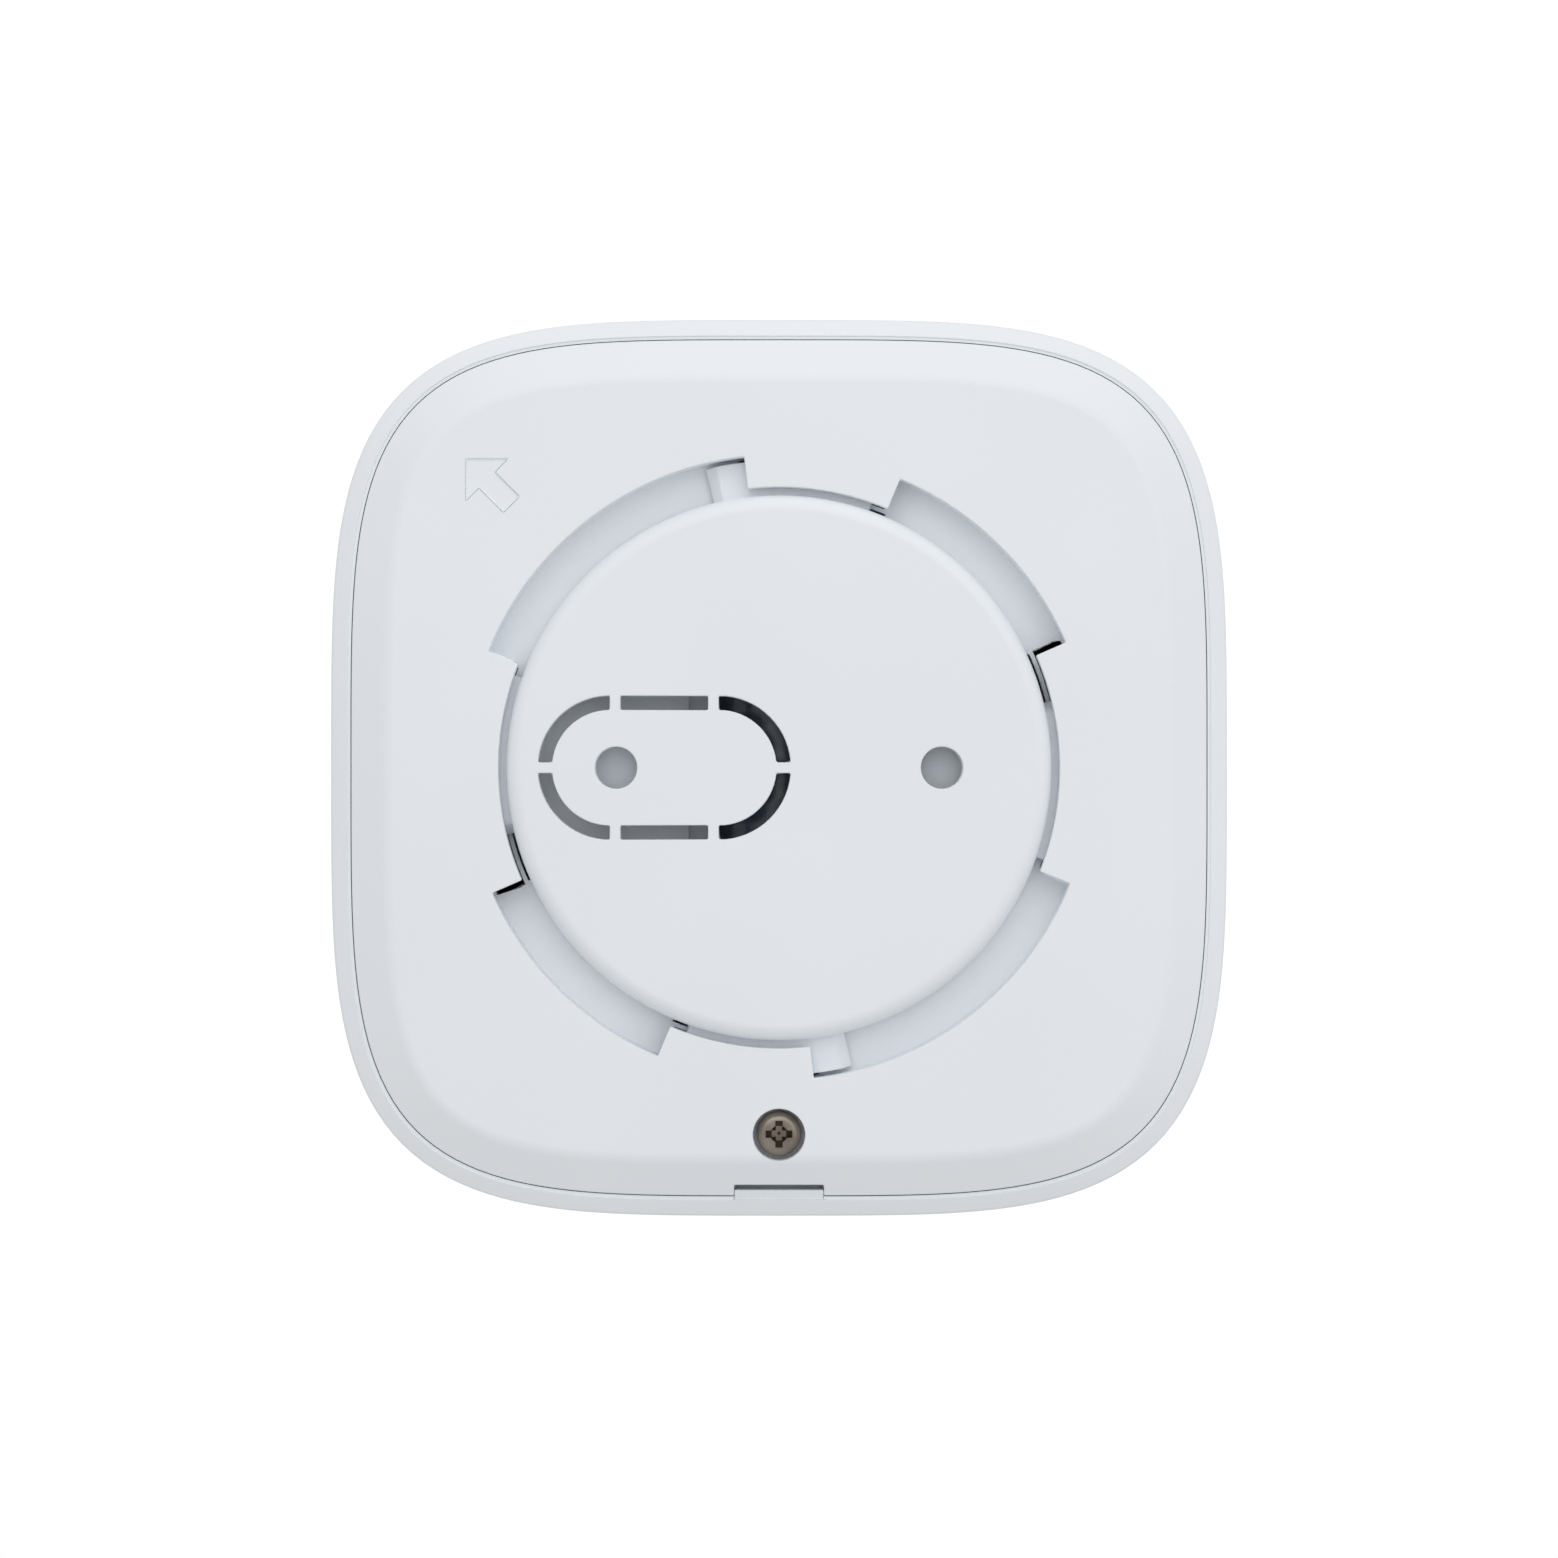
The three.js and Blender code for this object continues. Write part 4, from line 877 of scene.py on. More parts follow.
def build_housing(sizes):
    """The back casing: a recess for the bracket, a bay for the cell, posts and a screw boss."""
    shell = housing_shell()
    # Parts inside reach halfway into the walls they stand on
    root = BACK - WALL / 2
    cup = rod("cup", POCKET_RADIUS + CUP_WALL, FLOOR - FLOOR_THICKNESS, root, sides=ROUND_SIDES)
    bay = bay_body(
        "bay", BAY_RADIUS + BAY_WALL, BAY_HALF_LENGTH + BAY_WALL, FLOOR - FLOOR_THICKNESS / 2)
    boss = rod("boss", BOSS_RADIUS, SKIRT_UNDER, root, 0, SCREW_Y)
    posts = [rod("post", POST_RADIUS, POST_UNDER, root, x, y) for x, y in POSTS]
    combine(shell, [cup, bay, boss, group(posts)], "UNION")
    bay_cut = bay_body("bay_cut", BAY_RADIUS, BAY_HALF_LENGTH, BAY_TOP)
    ribs = [
        block("rib", RIB_SIZE, (x, y, FLOOR - RIB_DROP)) for x in (-RIB_X, RIB_X) for y in (-RIB_Y, RIB_Y)]
    sink = rod(
        "sink", SCREW_SINK_RADIUS, SCREW_SEAT - SCREW_SINK_BELOW, CEILING + 2, 0, SCREW_Y, FINE_SIDES)
    through = rod("through", SCREW_HOLE_RADIUS, FAR_BELOW, SCREW_SEAT, 0, SCREW_Y)
    bores = [rod("bore", POST_BORE_RADIUS, FAR_BELOW, POST_BORE_TOP, x, y) for x, y in POSTS]
    pry_level = slope_level(PRY_INSET) - PRY_DEPTH + PRY_SIZE[2] / 2
    pry = block("pry", PRY_SIZE, (0, PRY_INSET - HALF_WIDTH, pry_level))
    windows = floor_windows()
    leg_y = BAY_HALF_LENGTH - LEG_SLOT[1] / 2
    leg_level = CELL_AXIS - LEG_SLOT[2] / 2
    legs = [block("leg", LEG_SLOT, (0, side * leg_y, leg_level)) for side in (-1, 1)]
    hooks = hooks_on_sides(HOOK_SLOT)
    combine(shell, recess_cutters(), "DIFFERENCE")
    combine(shell, [bay_cut, sink, through, group(bores), pry, group(windows)], "DIFFERENCE")
    combine(shell, [group(legs), hooks, arrow_cutter(sizes.arrow_depth / MM)], "DIFFERENCE")
    combine(shell, [twist_stops(), group(ribs)], "UNION")
    soften(shell, sizes.edge_round / MM, [BACK, slope_level(SEAM_INSET)])
    finish_piece(shell, ALARM, "housing_plastic", "housing", "rear_housing")


# ---------------------------------------------------------------- bracket


def bayonet_tab(middle):
    """A flat tab with a sloped lead-in past its end, to slip under its lip."""
    start = middle - TAB_HALF_ANGLE
    end = middle + TAB_HALF_ANGLE
    top = TAB_UNDER + TAB_THICKNESS
    tab = spun_block(
        "tab", DISC_RADIUS - TAB_ROOT, TAB_RADIUS, start, end + LEAD_IN_ANGLE, TAB_UNDER, top)
    turn = math.radians(end)
    along = Vector((-math.sin(turn), math.cos(turn), 0))
    corner = Vector((math.cos(turn), math.sin(turn), 0)) * TAB_RADIUS
    corner.z = top
    edit(tab)
    bpy.ops.mesh.bisect(
        plane_co=corner * MM, plane_no=along + Vector((0, 0, LEAD_IN_SLOPE)), use_fill=True,
        clear_outer=True)
    return close_edit(tab)


def slot_ring(name, length, width):
    """An upright solid with round ends, round the middle of the knock-out."""
    piece = rod(name, width / 2, TAB_UNDER, CEILING + 2, sides=FINE_SIDES)
    for vertex in piece.data.vertices:
        side = 1 if vertex.co.x > 0.001 * MM else -1
        vertex.co.x += (side * (length - width) / 2 + KNOCKOUT_X) * MM
    return piece


def knockout_slots():
    """The round-ended slot round the knock-out, less its six small bridges."""
    length = KNOCKOUT_LENGTH
    width = KNOCKOUT_WIDTH
    outer = slot_ring("outer", length, width)
    inner = slot_ring("inner", length - 2 * KNOCKOUT_SLOT, width - 2 * KNOCKOUT_SLOT)
    combine(outer, [inner], "DIFFERENCE")
    bridge = KNOCKOUT_BRIDGE
    junction = (length - width - bridge) / 2
    bars = [
        block("bar", (bridge, width + 2, 8), (KNOCKOUT_X + side * junction, 0, -1)) for side in (-1, 1)]
    bars.append(block("bar", (length + 2, bridge, 8), (KNOCKOUT_X, 0, -1)))
    return combine(outer, bars, "DIFFERENCE")


def build_bracket(sizes):
    """The ceiling bracket: a dished plate with two screw holes, a knock-out and four tabs."""
    steps = 7
    profile = [(DISC_RADIUS, TAB_UNDER), (DISC_RADIUS, CEILING - DISC_FILLET)]
    for i in range(1, steps + 1):
        turn = math.radians(90 * i / steps)
        radius = DISC_RADIUS - DISC_FILLET * (1 - math.cos(turn))
        profile.append((radius, CEILING - DISC_FILLET * (1 - math.sin(turn))))
    disc = round_body("ceiling_bracket_plate", profile)
    hollow = rod(
        "hollow", DISC_RADIUS - DISC_WALL, TAB_UNDER - OVERRUN, CEILING - DISC_THICKNESS,
        sides=ROUND_SIDES)
    combine(disc, [hollow], "DIFFERENCE")
    tabs = [bayonet_tab(TAB_FIRST_ANGLE + 90 * i) for i in range(4)]
    bosses = [
        rod("boss", HOLE_BOSS_RADIUS, CEILING - HOLE_BOSS_DEPTH, CEILING - DISC_THICKNESS / 2, x)
        for x in (-HOLE_X, HOLE_X)]
    combine(disc, [group(tabs), group(bosses)], "UNION")
    holes = [rod("hole", HOLE_RADIUS, -6, CEILING + 2, x, sides=48) for x in (-HOLE_X, HOLE_X)]
    combine(disc, [knockout_slots(), group(holes)], "DIFFERENCE")
    soften(disc, sizes.edge_round / MM, [CEILING, TAB_UNDER + TAB_THICKNESS])
    finish_piece(disc, BRACKET, "housing_plastic", "bracket", "mounting_bracket")


# ---------------------------------------------------------------- cover


def cover_sides():
    """The outside from its widest ring to the back rim, and on down inside."""
    top_turn = math.radians(RIM_TURN)
    widest = slope_level(RIM_ROUND * (1 - math.cos(top_turn))) - RIM_ROUND * math.sin(top_turn)
    seam_floor = SEAM_LEVEL - SEAM_DEPTH - SEAM_GAP
    round_in = EDGE_ROUND - COVER_WALL
    steps = 4
    profile = [(0, widest)]
    for i in range(1, steps + 1):
        turn = top_turn * i / steps
        profile.append((RIM_ROUND * (1 - math.cos(turn)), widest + RIM_ROUND * math.sin(turn)))
    profile += [
        (RIM_INSET, slope_level(RIM_INSET)), (RIM_INSET, seam_floor),
        (SKIRT_INSET - SKIRT_GAP, seam_floor), (SKIRT_INSET - SKIRT_GAP, SKIRT_UNDER - 0.3),
        (COVER_WALL, SKIRT_UNDER - 0.6), (COVER_WALL + SIDE_DRAFT, FRONT_INNER + round_in)]
    for i in range(1, steps + 1):
        turn = math.radians(90 * i / steps)
        inset = COVER_WALL + SIDE_DRAFT + (round_in - SIDE_DRAFT) * (1 - math.cos(turn))
        profile.append((inset, FRONT_INNER + round_in * (1 - math.sin(turn))))
    return widest, profile


def cover_front(widest):
    """The outside from its widest ring to the front face."""
    steps = 10
    profile = [(0, widest), (SIDE_DRAFT, FRONT + EDGE_ROUND)]
    for i in range(1, steps + 1):
        turn = math.radians(90 * i / steps)
        inset = SIDE_DRAFT + (EDGE_ROUND - SIDE_DRAFT) * (1 - math.cos(turn))
        profile.append((inset, FRONT + EDGE_ROUND * (1 - math.sin(turn))))
    return profile


def cover_shell():
    """The cover's closed wall, drawn both ways from its widest ring."""
    widest, sides = cover_sides()
    step = 2 * math.pi / OUTLINE_SIDES
    shell = start_face("front_casing", OUTLINE_SIDES, lambda i: outline_point(i * step, 0, widest))
    # A first hair's breadth of wall, so that both faces of the ring can be drawn on
    bpy.ops.mesh.extrude_region_move(TRANSFORM_OT_translate={"value": (0, 0, 0.002 * MM)})
    follow(sides)
    pick_faces(shell, widest, -1)
    follow(cover_front(widest))
    return close_edit(shell)


def build_cover(sizes):
    """The front cover: rounded shell, inlets, sounder slots, and holes for button and light."""
    shell = cover_shell()
    below = FRONT - OVERRUN
    above = FRONT_INNER + OVERRUN
    post = rod("post", COVER_POST_RADIUS, FRONT_INNER - 1, COVER_POST_TOP, 0, SCREW_Y)
    combine(shell, [post, hooks_on_sides(HOOK_SIZE), pry_ledge()], "UNION")
    inlet = slot_cutter("inlet", INLET_OUTER - INLET_INNER, INLET_WIDTH, below, above)
    inlet.data.transform(Matrix.Translation(((INLET_OUTER + INLET_INNER) / 2 * MM, 0, 0)))
    inlets = group(turned_copies(inlet, INLETS, 360 / INLETS))
    bore = rod("bore", SCREW_HOLE_RADIUS, SCREW_LOW.z - 0.3, CEILING, 0, SCREW_Y)
    button_hole = rod("button_hole", BUTTON_RADIUS + BUTTON_GAP, below, HOLE_TOP, 0, BUTTON_Y, 96)
    light_hole = rod("light_hole", LIGHT_RADIUS + LIGHT_GAP, below, HOLE_TOP, LIGHT_X, BUTTON_Y, 32)
    combine(shell, [inlets, group(grille_slots()), bore, button_hole, light_hole], "DIFFERENCE")
    groove_top = FRONT + sizes.groove_depth / MM
    ring = round_body("ring", [(GROOVE_OUTER, below), (GROOVE_OUTER, groove_top)])
    island = rod("island", GROOVE_INNER, FRONT - 2, FRONT + 1, sides=ROUND_SIDES)
    combine(ring, [island], "DIFFERENCE")
    combine(shell, [ring], "DIFFERENCE")
    soften(shell, sizes.edge_round / MM, [FRONT, slope_level(RIM_INSET)])
    finish_piece(shell, ALARM, "cover_plastic", "cover", "front_cover")


def pry_ledge():
    """A sloped step of the cover's wall that fills most of the pry notch."""
    top = slope_level(LEDGE_OUTER)
    size = (LEDGE_WIDTH, LEDGE_INNER - LEDGE_OUTER, LEDGE_HEIGHT)
    centre = (0, (LEDGE_INNER + LEDGE_OUTER) / 2 - HALF_WIDTH, top - LEDGE_HEIGHT / 2)
    piece = block("ledge", size, centre)
    for vertex in piece.data.vertices:
        if vertex.co.z / MM > top - 1:
            inset = HALF_WIDTH + vertex.co.y / MM
            vertex.co.z = (slope_level(inset) - LEDGE_SINK) * MM
    return piece


def grille_slots():
    """Slots over the sounder, as long as its round grille lets each be."""
    slots = []
    for i in range(GRILLE_SLOTS):
        across = (i - (GRILLE_SLOTS - 1) / 2) * GRILLE_PITCH
        length = 2 * math.sqrt(GRILLE_RADIUS ** 2 - across ** 2)
        piece = slot_cutter("slot", length, GRILLE_WIDTH, FRONT - OVERRUN, FRONT_INNER + OVERRUN)
        piece.data.transform(Matrix.Translation((0, across * MM, 0)))
        piece.data.transform(Matrix.Rotation(math.radians(GRILLE_TURN), 4, "Z"))
        piece.data.transform(Matrix.Translation((SOUNDER_X * MM, SOUNDER_Y * MM, 0)))
        slots.append(piece)
    return slots


# ---------------------------------------------------------------- small parts


def build_screw(sizes):
    """Pan head with a cross recess and a threaded shank."""
    radius = SCREW_HEAD_RADIUS - 0.05
    head_round = 0.9
    shoulder = SCREW_SEAT + head_round
    steps = 6
    profile = [(radius, SCREW_SEAT), (radius, shoulder)]
    for i in range(1, steps + 1):
        turn = math.radians(90 * i / steps)
        profile.append((radius - head_round * (1 - math.cos(turn)), shoulder + 0.65 * math.sin(turn)))
    screw = round_body("housing_screw_cross_head", profile, 0, SCREW_Y, FINE_SIDES)
    shank = round_body("shank", thread_profile(sizes.thread_pitch / MM), 0, SCREW_Y, 32)
    arms = [cross_arm(turn) for turn in (0, 90)]
    pit_profile = [(0.02, SCREW_SEAT + 0.2), (0.8, SCREW_SEAT + 1.2), (0.95, SCREW_SEAT + 2)]
    pit = round_body("pit", pit_profile, 0, SCREW_Y, 24)
    combine(screw, [shank], "UNION")
    combine(screw, [*arms, pit], "DIFFERENCE")
    smooth(screw, 35)
    finish_piece(screw, ALARM, "nickel_screw", "nickel_screw", "housing_screw")


def thread_profile(pitch):
    """Rings of a coarse thread, from the point up to the head."""
    core = 0.95
    crest = 1.25
    neck = 1.15
    tip = SCREW_LOW.z
    profile = [(0.3, tip), (core, tip + 1.4)]
    level = tip + 1.6
    while level < SCREW_SEAT - 3:
        profile += [(crest, level + 0.4 * pitch), (core, level + 0.8 * pitch)]
        level += pitch
    profile += [(neck, SCREW_SEAT - 2), (neck, SCREW_SEAT + 0.3)]
    return profile


def cross_arm(turn):
    """One arm of the cross recess, narrower at its foot."""
    top = SCREW_SEAT + 1.7
    depth = 1.3
    piece = block("arm", (2.8, 0.74, depth), (0, 0, top - depth / 2))
    for vertex in piece.data.vertices:
        if vertex.co.z / MM < top - 0.6:
            vertex.co.x *= 0.5
            vertex.co.y *= 0.8
    piece.data.transform(Matrix.Rotation(math.radians(turn), 4, "Z"))
    piece.data.transform(Matrix.Translation((0, SCREW_Y * MM, 0)))
    return piece


def build_button(sizes):
    """A dished cap with a soft edge, its flange and its stem."""
    face = BUTTON_LOW.z
    dish = sizes.dish_depth / MM
    flange = FRONT_INNER + 0.3
    # How far in from the cap's edge, and how high above its rim, each ring lies
    rings = [
        (0, flange - face), (0, 0.7), (0.2, 0.25), (0.7, 0), (1.2, 0.14 * dish), (2.5, 0.56 * dish),
        (4.2, 0.89 * dish), (6.2, dish)]
    profile = [(BUTTON_RADIUS - inward, face + height) for inward, height in rings]
    cap = round_body("test_button_cap", profile, 0, BUTTON_Y, 96)
    plate_profile = [(BUTTON_HIGH.x, flange), (BUTTON_HIGH.x, flange + BUTTON_FLANGE)]
    plate = round_body("plate", plate_profile, 0, BUTTON_Y, 96)
    stem = rod("stem", BUTTON_STEM_RADIUS, flange + 1, BUTTON_HIGH.z, 0, BUTTON_Y)
    combine(cap, [plate, stem], "UNION")
    smooth(cap, 50)
    finish_piece(cap, BUTTON, "button_plastic", "button", "test_button")


def build_light_pipe(sizes):
    """A clear rod with a domed end and a collar."""
    face = PIPE_LOW.z
    dome_height = sizes.dome_height / MM
    rings = [
        (0, PIPE_HIGH.z - face), (0, dome_height), (0.15, 0.5 * dome_height),
        (0.5, 0.16 * dome_height), (1.1, 0)]
    profile = [(LIGHT_RADIUS - inward, face + height) for inward, height in rings]
    dome = round_body("light_pipe_lens", profile, LIGHT_X, BUTTON_Y, 48)
    collar_low = FRONT_INNER + 0.3
    collar = rod(
        "collar", LIGHT_RADIUS + LIGHT_COLLAR, collar_low, FRONT_INNER + 1.5, LIGHT_X, BUTTON_Y, 48)
    combine(dome, [collar], "UNION")
    smooth(dome, 50)
    finish_piece(dome, ALARM, "light_pipe_plastic", "pipe", "light_pipe")


def wire_grid(pitch, wire, radius, low):
    """A round piece of a grid of wires, lying flat."""
    count = int(2 * radius / pitch)
    deselect()
    bpy.ops.mesh.primitive_grid_add(
        x_subdivisions=count, y_subdivisions=count, size=2 * radius * MM,
        location=(0, 0, (low + wire / 2) * MM))
    grid = settle("insect_screen_mesh")
    edit(grid)
    bpy.ops.object.mode_set(mode="OBJECT")
    for face in grid.data.polygons:
        middle = Vector((face.center.x, face.center.y)) / MM
        face.select = middle.length > radius - 0.9
    bpy.ops.object.mode_set(mode="EDIT")
    bpy.ops.mesh.delete(type="FACE")
    bpy.ops.object.mode_set(mode="OBJECT")
    wires = grid.modifiers.new("wires", "WIREFRAME")
    wires.thickness = wire * MM
    wires.use_even_offset = False
    activate(grid)
    bpy.ops.object.modifier_apply(modifier=wires.name)
    return grid


def build_screen(sizes):
    """Wire mesh over the inlets, in a rolled edge, with a slotted wall that stands on it."""
    radius = SCREEN_HIGH.x
    low = SCREEN_LOW.z
    high = SCREEN_HIGH.z
    slots = 16
    grid = wire_grid(sizes.wire_pitch / MM, sizes.wire_thickness / MM, radius, low)
    wall = round_body("wall", [(radius, low), (radius, high)])
    hollow = rod("hollow", radius - 0.3, low - OVERRUN, high + OVERRUN, sides=ROUND_SIDES)
    combine(wall, [hollow], "DIFFERENCE")
    slot = block("slot", (8, 4, 3.4), (radius, 0, (low + high) / 2), 180 / slots)
    combine(wall, [group(turned_copies(slot, slots, 360 / slots))], "DIFFERENCE")
    roll = round_body("roll", [(radius, low), (radius, low + 0.5)])
    middle = rod("middle", radius - 1.0, low - OVERRUN, low + OVERRUN, sides=ROUND_SIDES)
    combine(roll, [middle], "DIFFERENCE")
    piece = group([grid, wall, roll])
    smooth(piece)
    finish_piece(piece, ALARM, "screen_steel", "screen", "insect_screen")


def lay_along_y(piece):
    """Turns an upright piece to lie along the cell's axis, from the cell's low end."""
    piece.data.transform(Matrix.Rotation(-math.pi / 2, 4, "X"))
    piece.data.transform(Matrix.Translation((0, CELL_LOW.y * MM, CELL_AXIS * MM)))


def build_can(crimp):
    """A drawn steel can with a crimped shoulder and a raised contact."""
    length = CELL_HIGH.y - CELL_LOW.y
    radius = CELL_HIGH.x
    # How far in from the can's side and how far from its top each ring lies
    rings = [
        (0.6, length), (0, length - 0.6), (0, 3.4), (crimp, 3.0), (crimp, 2.6), (0, 2.2),
        (0.3, 1.25), (1.4, 1.0), (radius - 3.2, 1.05), (radius - 3.0, 0.3), (radius - 2.6, 0)]
    profile = [(radius - inward, length - below_top) for inward, below_top in rings]
    can = round_body("battery_cell_can", profile, sides=96)
    lay_along_y(can)
    smooth(can, 50)
    finish_piece(can, ALARM, "cell_steel", "cell", "battery_cell")


def build_sleeve():
    """The cell's shrunk sleeve, turned in a little at both ends."""
    length = SLEEVE_HIGH.y - SLEEVE_LOW.y
    outer = SLEEVE_HIGH.x
    turned_in = outer - 0.1
    profile = [(turned_in, 0), (outer, 0.2), (outer, length - 0.2), (turned_in, length)]
    sleeve = round_body("battery_sleeve_film", profile, sides=96)
    inner = rod("inner", outer - 0.25, -OVERRUN, length + OVERRUN, sides=96)
    combine(sleeve, [inner], "DIFFERENCE")
    lay_along_y(sleeve)
    sleeve.data.transform(Matrix.Translation((0, (SLEEVE_LOW.y - CELL_LOW.y) * MM, 0)))
    smooth(sleeve, 50)
    finish_piece(sleeve, ALARM, "cell_sleeve", "sleeve", "battery_sleeve")


def build_cell(sizes):
    """The battery cell in its sleeve."""
    build_can(sizes.crimp_depth / MM)
    build_sleeve()


def dress_frame_nodes():
    """Gives the frame's own parts, which stay, their finishes."""
    for name, finish in CAD_FINISHES.items():
        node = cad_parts[name]
        node.data.materials.clear()
        node.data.materials.append(finishes[finish])


# ---------------------------------------------------------------- stage


# The stage is in metres
FLOOR_WIDTH = 40.0
FLOOR_DROP = 1.5
GLOW_INNER = 1.58
GLOW_OUTER = 1.9
GLOW_STRENGTH = 0.42
LIGHT_AIM = (0, 0, -0.02)
CAMERA_DISTANCE = 0.422
CAMERA_Y = -0.0011
SENSOR_WIDTH = 36.0
VIEW_WIDTH = 0.152


def backdrop_paper():
    """Rolled white paper: dull and faintly fibrous. It glows a little under the object."""
    material, tree, shader, position = new_material(
        "Paper rolled backdrop", Roughness=0.9, Emission_Color=(1, 1, 1, 1))
    fibres = add_node(tree, "ShaderNodeTexNoise", Vector=position, Scale=1 / (3.0 * MM), Detail=2.0)
    colour = add_node(
        tree, "ShaderNodeValToRGB", stops=((0.3, linear("#FCFCFC")), (0.7, linear("#FFFFFF"))),
        Fac=fibres.outputs["Fac"])
    away = add_node(tree, "ShaderNodeVectorMath", {"operation": "LENGTH"}, Vector=position)
    glow = add_node(
        tree, "ShaderNodeMapRange", Value=away.outputs["Value"],
        From_Min=GLOW_INNER, From_Max=GLOW_OUTER, To_Min=GLOW_STRENGTH, To_Max=0.0)
    feed(
        tree, shader, Base_Color=colour.outputs["Color"], Emission_Strength=glow.outputs["Result"])
    return material


def area_light(name, location, size, power):
    """A soft square light that faces the object."""
    deselect()
    bpy.ops.object.light_add(type="AREA", location=location)
    light = bpy.context.object
    light.name = name
    light.data.size = size
    light.data.energy = power
    towards = Vector(LIGHT_AIM) - Vector(location)
    light.rotation_euler = towards.to_track_quat("-Z", "Y").to_euler()


def build_stage(stage):
    """A pale floor far below, three soft lights, even light all round, and the camera."""
    deselect()
    bpy.ops.mesh.primitive_plane_add(size=FLOOR_WIDTH, location=(0, 0, cad_low.z - FLOOR_DROP))
    floor = settle("studio_floor")
    floor.data.materials.append(backdrop_paper())
    area_light("key_light", (0.06, 0.45, 0.48), 0.9, stage.key_power)
    area_light("right_fill", (0.6, 0.0, 0.45), 0.4, stage.fill_power)
    area_light("front_fill", (-0.35, -0.45, -0.6), 0.4, stage.fill_power * 2)
    world = bpy.data.worlds.new("studio")
    world.use_nodes = True
    background = world.node_tree.nodes["Background"]
    background.inputs["Color"].default_value = (1, 1, 1, 1)
    background.inputs["Strength"].default_value = stage.world_strength
    bpy.context.scene.world = world
    bpy.context.scene.view_settings.view_transform = "Standard"
    lens_camera = bpy.data.cameras.new("camera")
    lens_camera.sensor_width = SENSOR_WIDTH
    lens_camera.lens = SENSOR_WIDTH * CAMERA_DISTANCE / VIEW_WIDTH
    lens_camera.clip_start = 0.01
    camera = bpy.data.objects.new("camera", lens_camera)
    bpy.context.collection.objects.link(camera)
    camera.location = (0.0, CAMERA_Y, CAMERA_DISTANCE)
    bpy.context.scene.camera = camera


# ---------------------------------------------------------------- add-on


class DetectorSizes(bpy.types.PropertyGroup):
    """The sizes that can change without touching the frame"""
    edge_round: FloatProperty(
        name="Edge rounding", description="Width of the rounding on the casings' moulded edges",
        default=0.15 * MM, min=0.02 * MM, max=0.17 * MM, precision=5, unit="LENGTH")
    arrow_depth: FloatProperty(
        name="Arrow depth", description="How deep the release arrow is sunk in the back",
        default=0.09 * MM, min=0.02 * MM, max=0.5 * MM, precision=5, unit="LENGTH")
    groove_depth: FloatProperty(
        name="Groove depth", description="Depth of the ring round the middle of the front",
        default=0.35 * MM, min=0.05 * MM, max=1.0 * MM, precision=5, unit="LENGTH")
    dish_depth: FloatProperty(
        name="Button dish", description="How far the middle of the button is sunk",
        default=0.36 * MM, min=0.0, max=0.8 * MM, precision=5, unit="LENGTH")
    dome_height: FloatProperty(
        name="Light dome", description="Height of the rounding on the light pipe's end",
        default=0.5 * MM, min=0.1 * MM, max=1.0 * MM, precision=5, unit="LENGTH")
    thread_pitch: FloatProperty(
        name="Thread pitch", description="Distance between turns of the screw's thread",
        default=1.0 * MM, min=0.6 * MM, max=2.0 * MM, precision=5, unit="LENGTH")
    wire_pitch: FloatProperty(
        name="Mesh pitch", description="Distance between wires of the insect screen",
        default=0.95 * MM, min=0.6 * MM, max=2.0 * MM, precision=5, unit="LENGTH")
    wire_thickness: FloatProperty(
        name="Mesh wire", description="Thickness of the insect screen's wire",
        default=0.24 * MM, min=0.1 * MM, max=0.4 * MM, precision=5, unit="LENGTH")
    crimp_depth: FloatProperty(
        name="Cell crimp", description="Depth of the groove rolled round the battery cell",
        default=0.35 * MM, min=0.1 * MM, max=0.8 * MM, precision=5, unit="LENGTH")


class DetectorColours(bpy.types.PropertyGroup):
    """The colours of the white mouldings"""
    back: FloatVectorProperty(
        name="Back", description="Back casing and bracket",
        default=linear("#F3F7FB")[:3], min=0.0, max=1.0, subtype="COLOR")
    back_shade: FloatVectorProperty(
        name="Back shade", description="Darker drift in the back casing and bracket",
        default=linear("#F1F5F9")[:3], min=0.0, max=1.0, subtype="COLOR")
    cover: FloatVectorProperty(
        name="Cover", description="Front cover",
        default=linear("#F3F7FB")[:3], min=0.0, max=1.0, subtype="COLOR")
    cover_shade: FloatVectorProperty(
        name="Cover shade", description="Darker drift in the front cover",
        default=linear("#F1F5F9")[:3], min=0.0, max=1.0, subtype="COLOR")


class DetectorStage(bpy.types.PropertyGroup):
    """The strength of the studio's lights"""
    key_power: FloatProperty(
        name="Key light", description="Power of the main soft light",
        default=1.95, min=0.0, unit="POWER")
    fill_power: FloatProperty(
        name="Fill light", description="Power of the side light",
        default=0.2, min=0.0, unit="POWER")
    world_strength: FloatProperty(
        name="World light", description="Brightness of the even light from all round",
        default=0.61, min=0.0, subtype="FACTOR")


class DETECTOR_OT_finishes(bpy.types.Operator):
    """Make the materials and give the kept parts theirs"""
    bl_idname = "detector.finishes"
    bl_label = "Finishes"

    def execute(self, context):
        finishes.update(make_materials(context.scene.detector_colours))
        dress_frame_nodes()
        return {"FINISHED"}


class DETECTOR_OT_back_casing(bpy.types.Operator):
    """Model the back casing with its bayonet recess and battery bay"""
    bl_idname = "detector.back_casing"
    bl_label = "Back casing"

    def execute(self, context):
        build_housing(context.scene.detector_sizes)
        return {"FINISHED"}


class DETECTOR_OT_bracket(bpy.types.Operator):
    """Model the ceiling bracket"""
    bl_idname = "detector.bracket"
    bl_label = "Ceiling bracket"

    def execute(self, context):
        build_bracket(context.scene.detector_sizes)
        return {"FINISHED"}


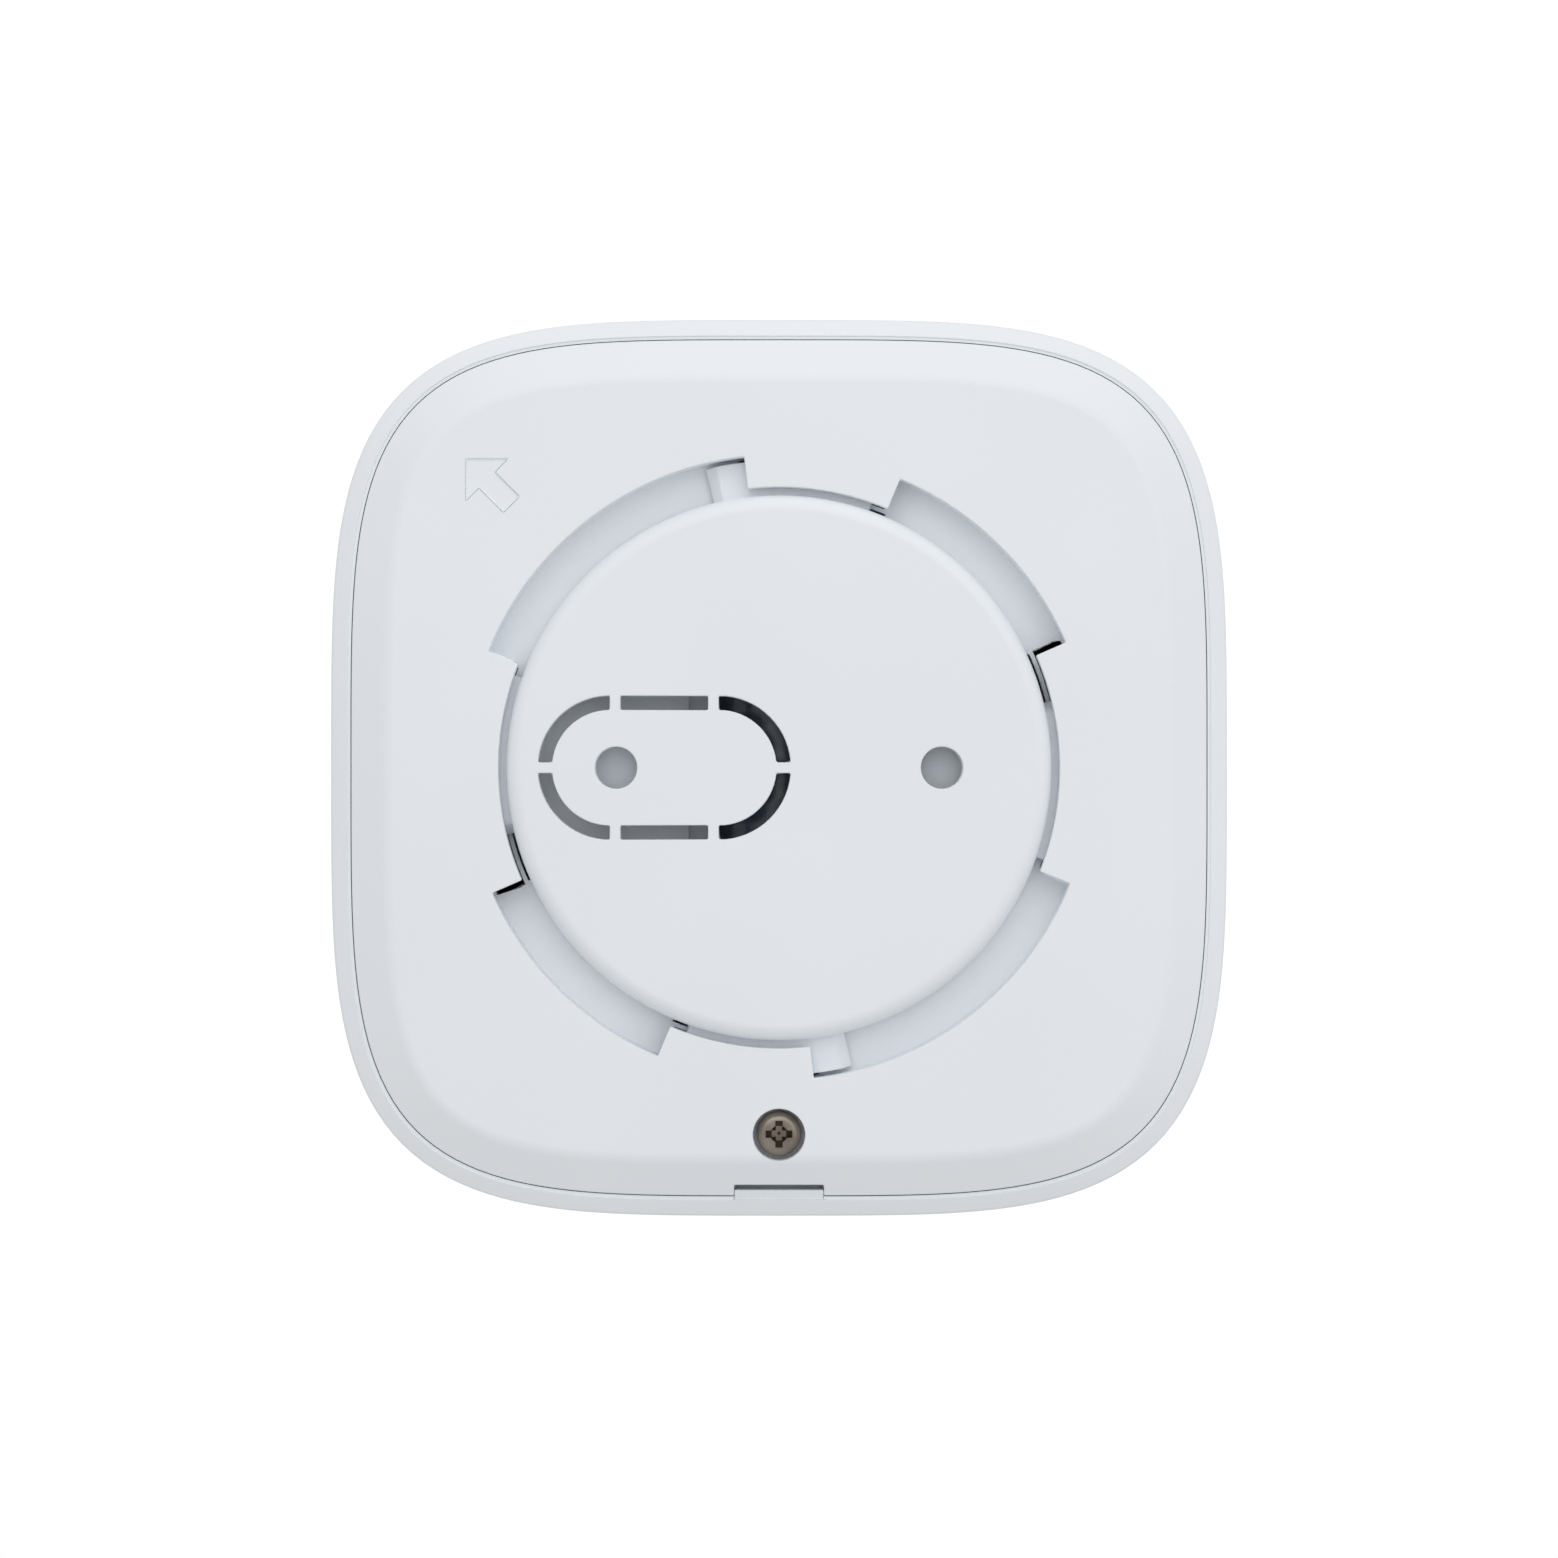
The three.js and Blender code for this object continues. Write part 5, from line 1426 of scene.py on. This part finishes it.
class DETECTOR_OT_cover(bpy.types.Operator):
    """Model the front cover with its inlets and grille"""
    bl_idname = "detector.cover"
    bl_label = "Front cover"

    def execute(self, context):
        build_cover(context.scene.detector_sizes)
        return {"FINISHED"}


class DETECTOR_OT_screw(bpy.types.Operator):
    """Model the screw that holds the casings together"""
    bl_idname = "detector.screw"
    bl_label = "Housing screw"

    def execute(self, context):
        build_screw(context.scene.detector_sizes)
        return {"FINISHED"}


class DETECTOR_OT_button(bpy.types.Operator):
    """Model the test button"""
    bl_idname = "detector.button"
    bl_label = "Test button"

    def execute(self, context):
        build_button(context.scene.detector_sizes)
        return {"FINISHED"}


class DETECTOR_OT_light_pipe(bpy.types.Operator):
    """Model the light pipe beside the button"""
    bl_idname = "detector.light_pipe"
    bl_label = "Light pipe"

    def execute(self, context):
        build_light_pipe(context.scene.detector_sizes)
        return {"FINISHED"}


class DETECTOR_OT_screen(bpy.types.Operator):
    """Model the insect screen behind the inlets"""
    bl_idname = "detector.screen"
    bl_label = "Insect screen"

    def execute(self, context):
        build_screen(context.scene.detector_sizes)
        return {"FINISHED"}


class DETECTOR_OT_cell(bpy.types.Operator):
    """Model the battery cell and its shrunk sleeve"""
    bl_idname = "detector.cell"
    bl_label = "Battery cell"

    def execute(self, context):
        build_cell(context.scene.detector_sizes)
        return {"FINISHED"}


class DETECTOR_OT_stage(bpy.types.Operator):
    """Make the floor, lights and camera"""
    bl_idname = "detector.stage"
    bl_label = "Stage"

    def execute(self, context):
        build_stage(context.scene.detector_stage)
        return {"FINISHED"}


STEPS = (
    DETECTOR_OT_finishes,
    DETECTOR_OT_back_casing,
    DETECTOR_OT_bracket,
    DETECTOR_OT_cover,
    DETECTOR_OT_screw,
    DETECTOR_OT_button,
    DETECTOR_OT_light_pipe,
    DETECTOR_OT_screen,
    DETECTOR_OT_cell,
    DETECTOR_OT_stage,
)


class DETECTOR_PT_panel(bpy.types.Panel):
    """Lists the settings and the steps"""
    bl_idname = "DETECTOR_PT_panel"
    bl_label = "Smoke detector"
    bl_space_type = "VIEW_3D"
    bl_region_type = "UI"
    bl_category = "Detector"

    def draw(self, context):
        scene = context.scene
        for settings in (scene.detector_sizes, scene.detector_colours, scene.detector_stage):
            for name in settings.__annotations__:
                self.layout.prop(settings, name)
        for step in STEPS:
            self.layout.operator(step.bl_idname)


CLASSES = (DetectorSizes, DetectorColours, DetectorStage, *STEPS, DETECTOR_PT_panel)


def register():
    """Adds the classes and their settings to Blender."""
    for item in CLASSES:
        bpy.utils.register_class(item)
    bpy.types.Scene.detector_sizes = PointerProperty(type=DetectorSizes)
    bpy.types.Scene.detector_colours = PointerProperty(type=DetectorColours)
    bpy.types.Scene.detector_stage = PointerProperty(type=DetectorStage)


def unregister():
    """Takes them out again."""
    del bpy.types.Scene.detector_stage
    del bpy.types.Scene.detector_colours
    del bpy.types.Scene.detector_sizes
    for item in reversed(CLASSES):
        bpy.utils.unregister_class(item)


def main():
    """Builds every piece in order."""
    register()
    for step in STEPS:
        name = step.bl_idname.split(".")[1]
        getattr(bpy.ops.detector, name)()


if __name__ == "__main__":
    main()
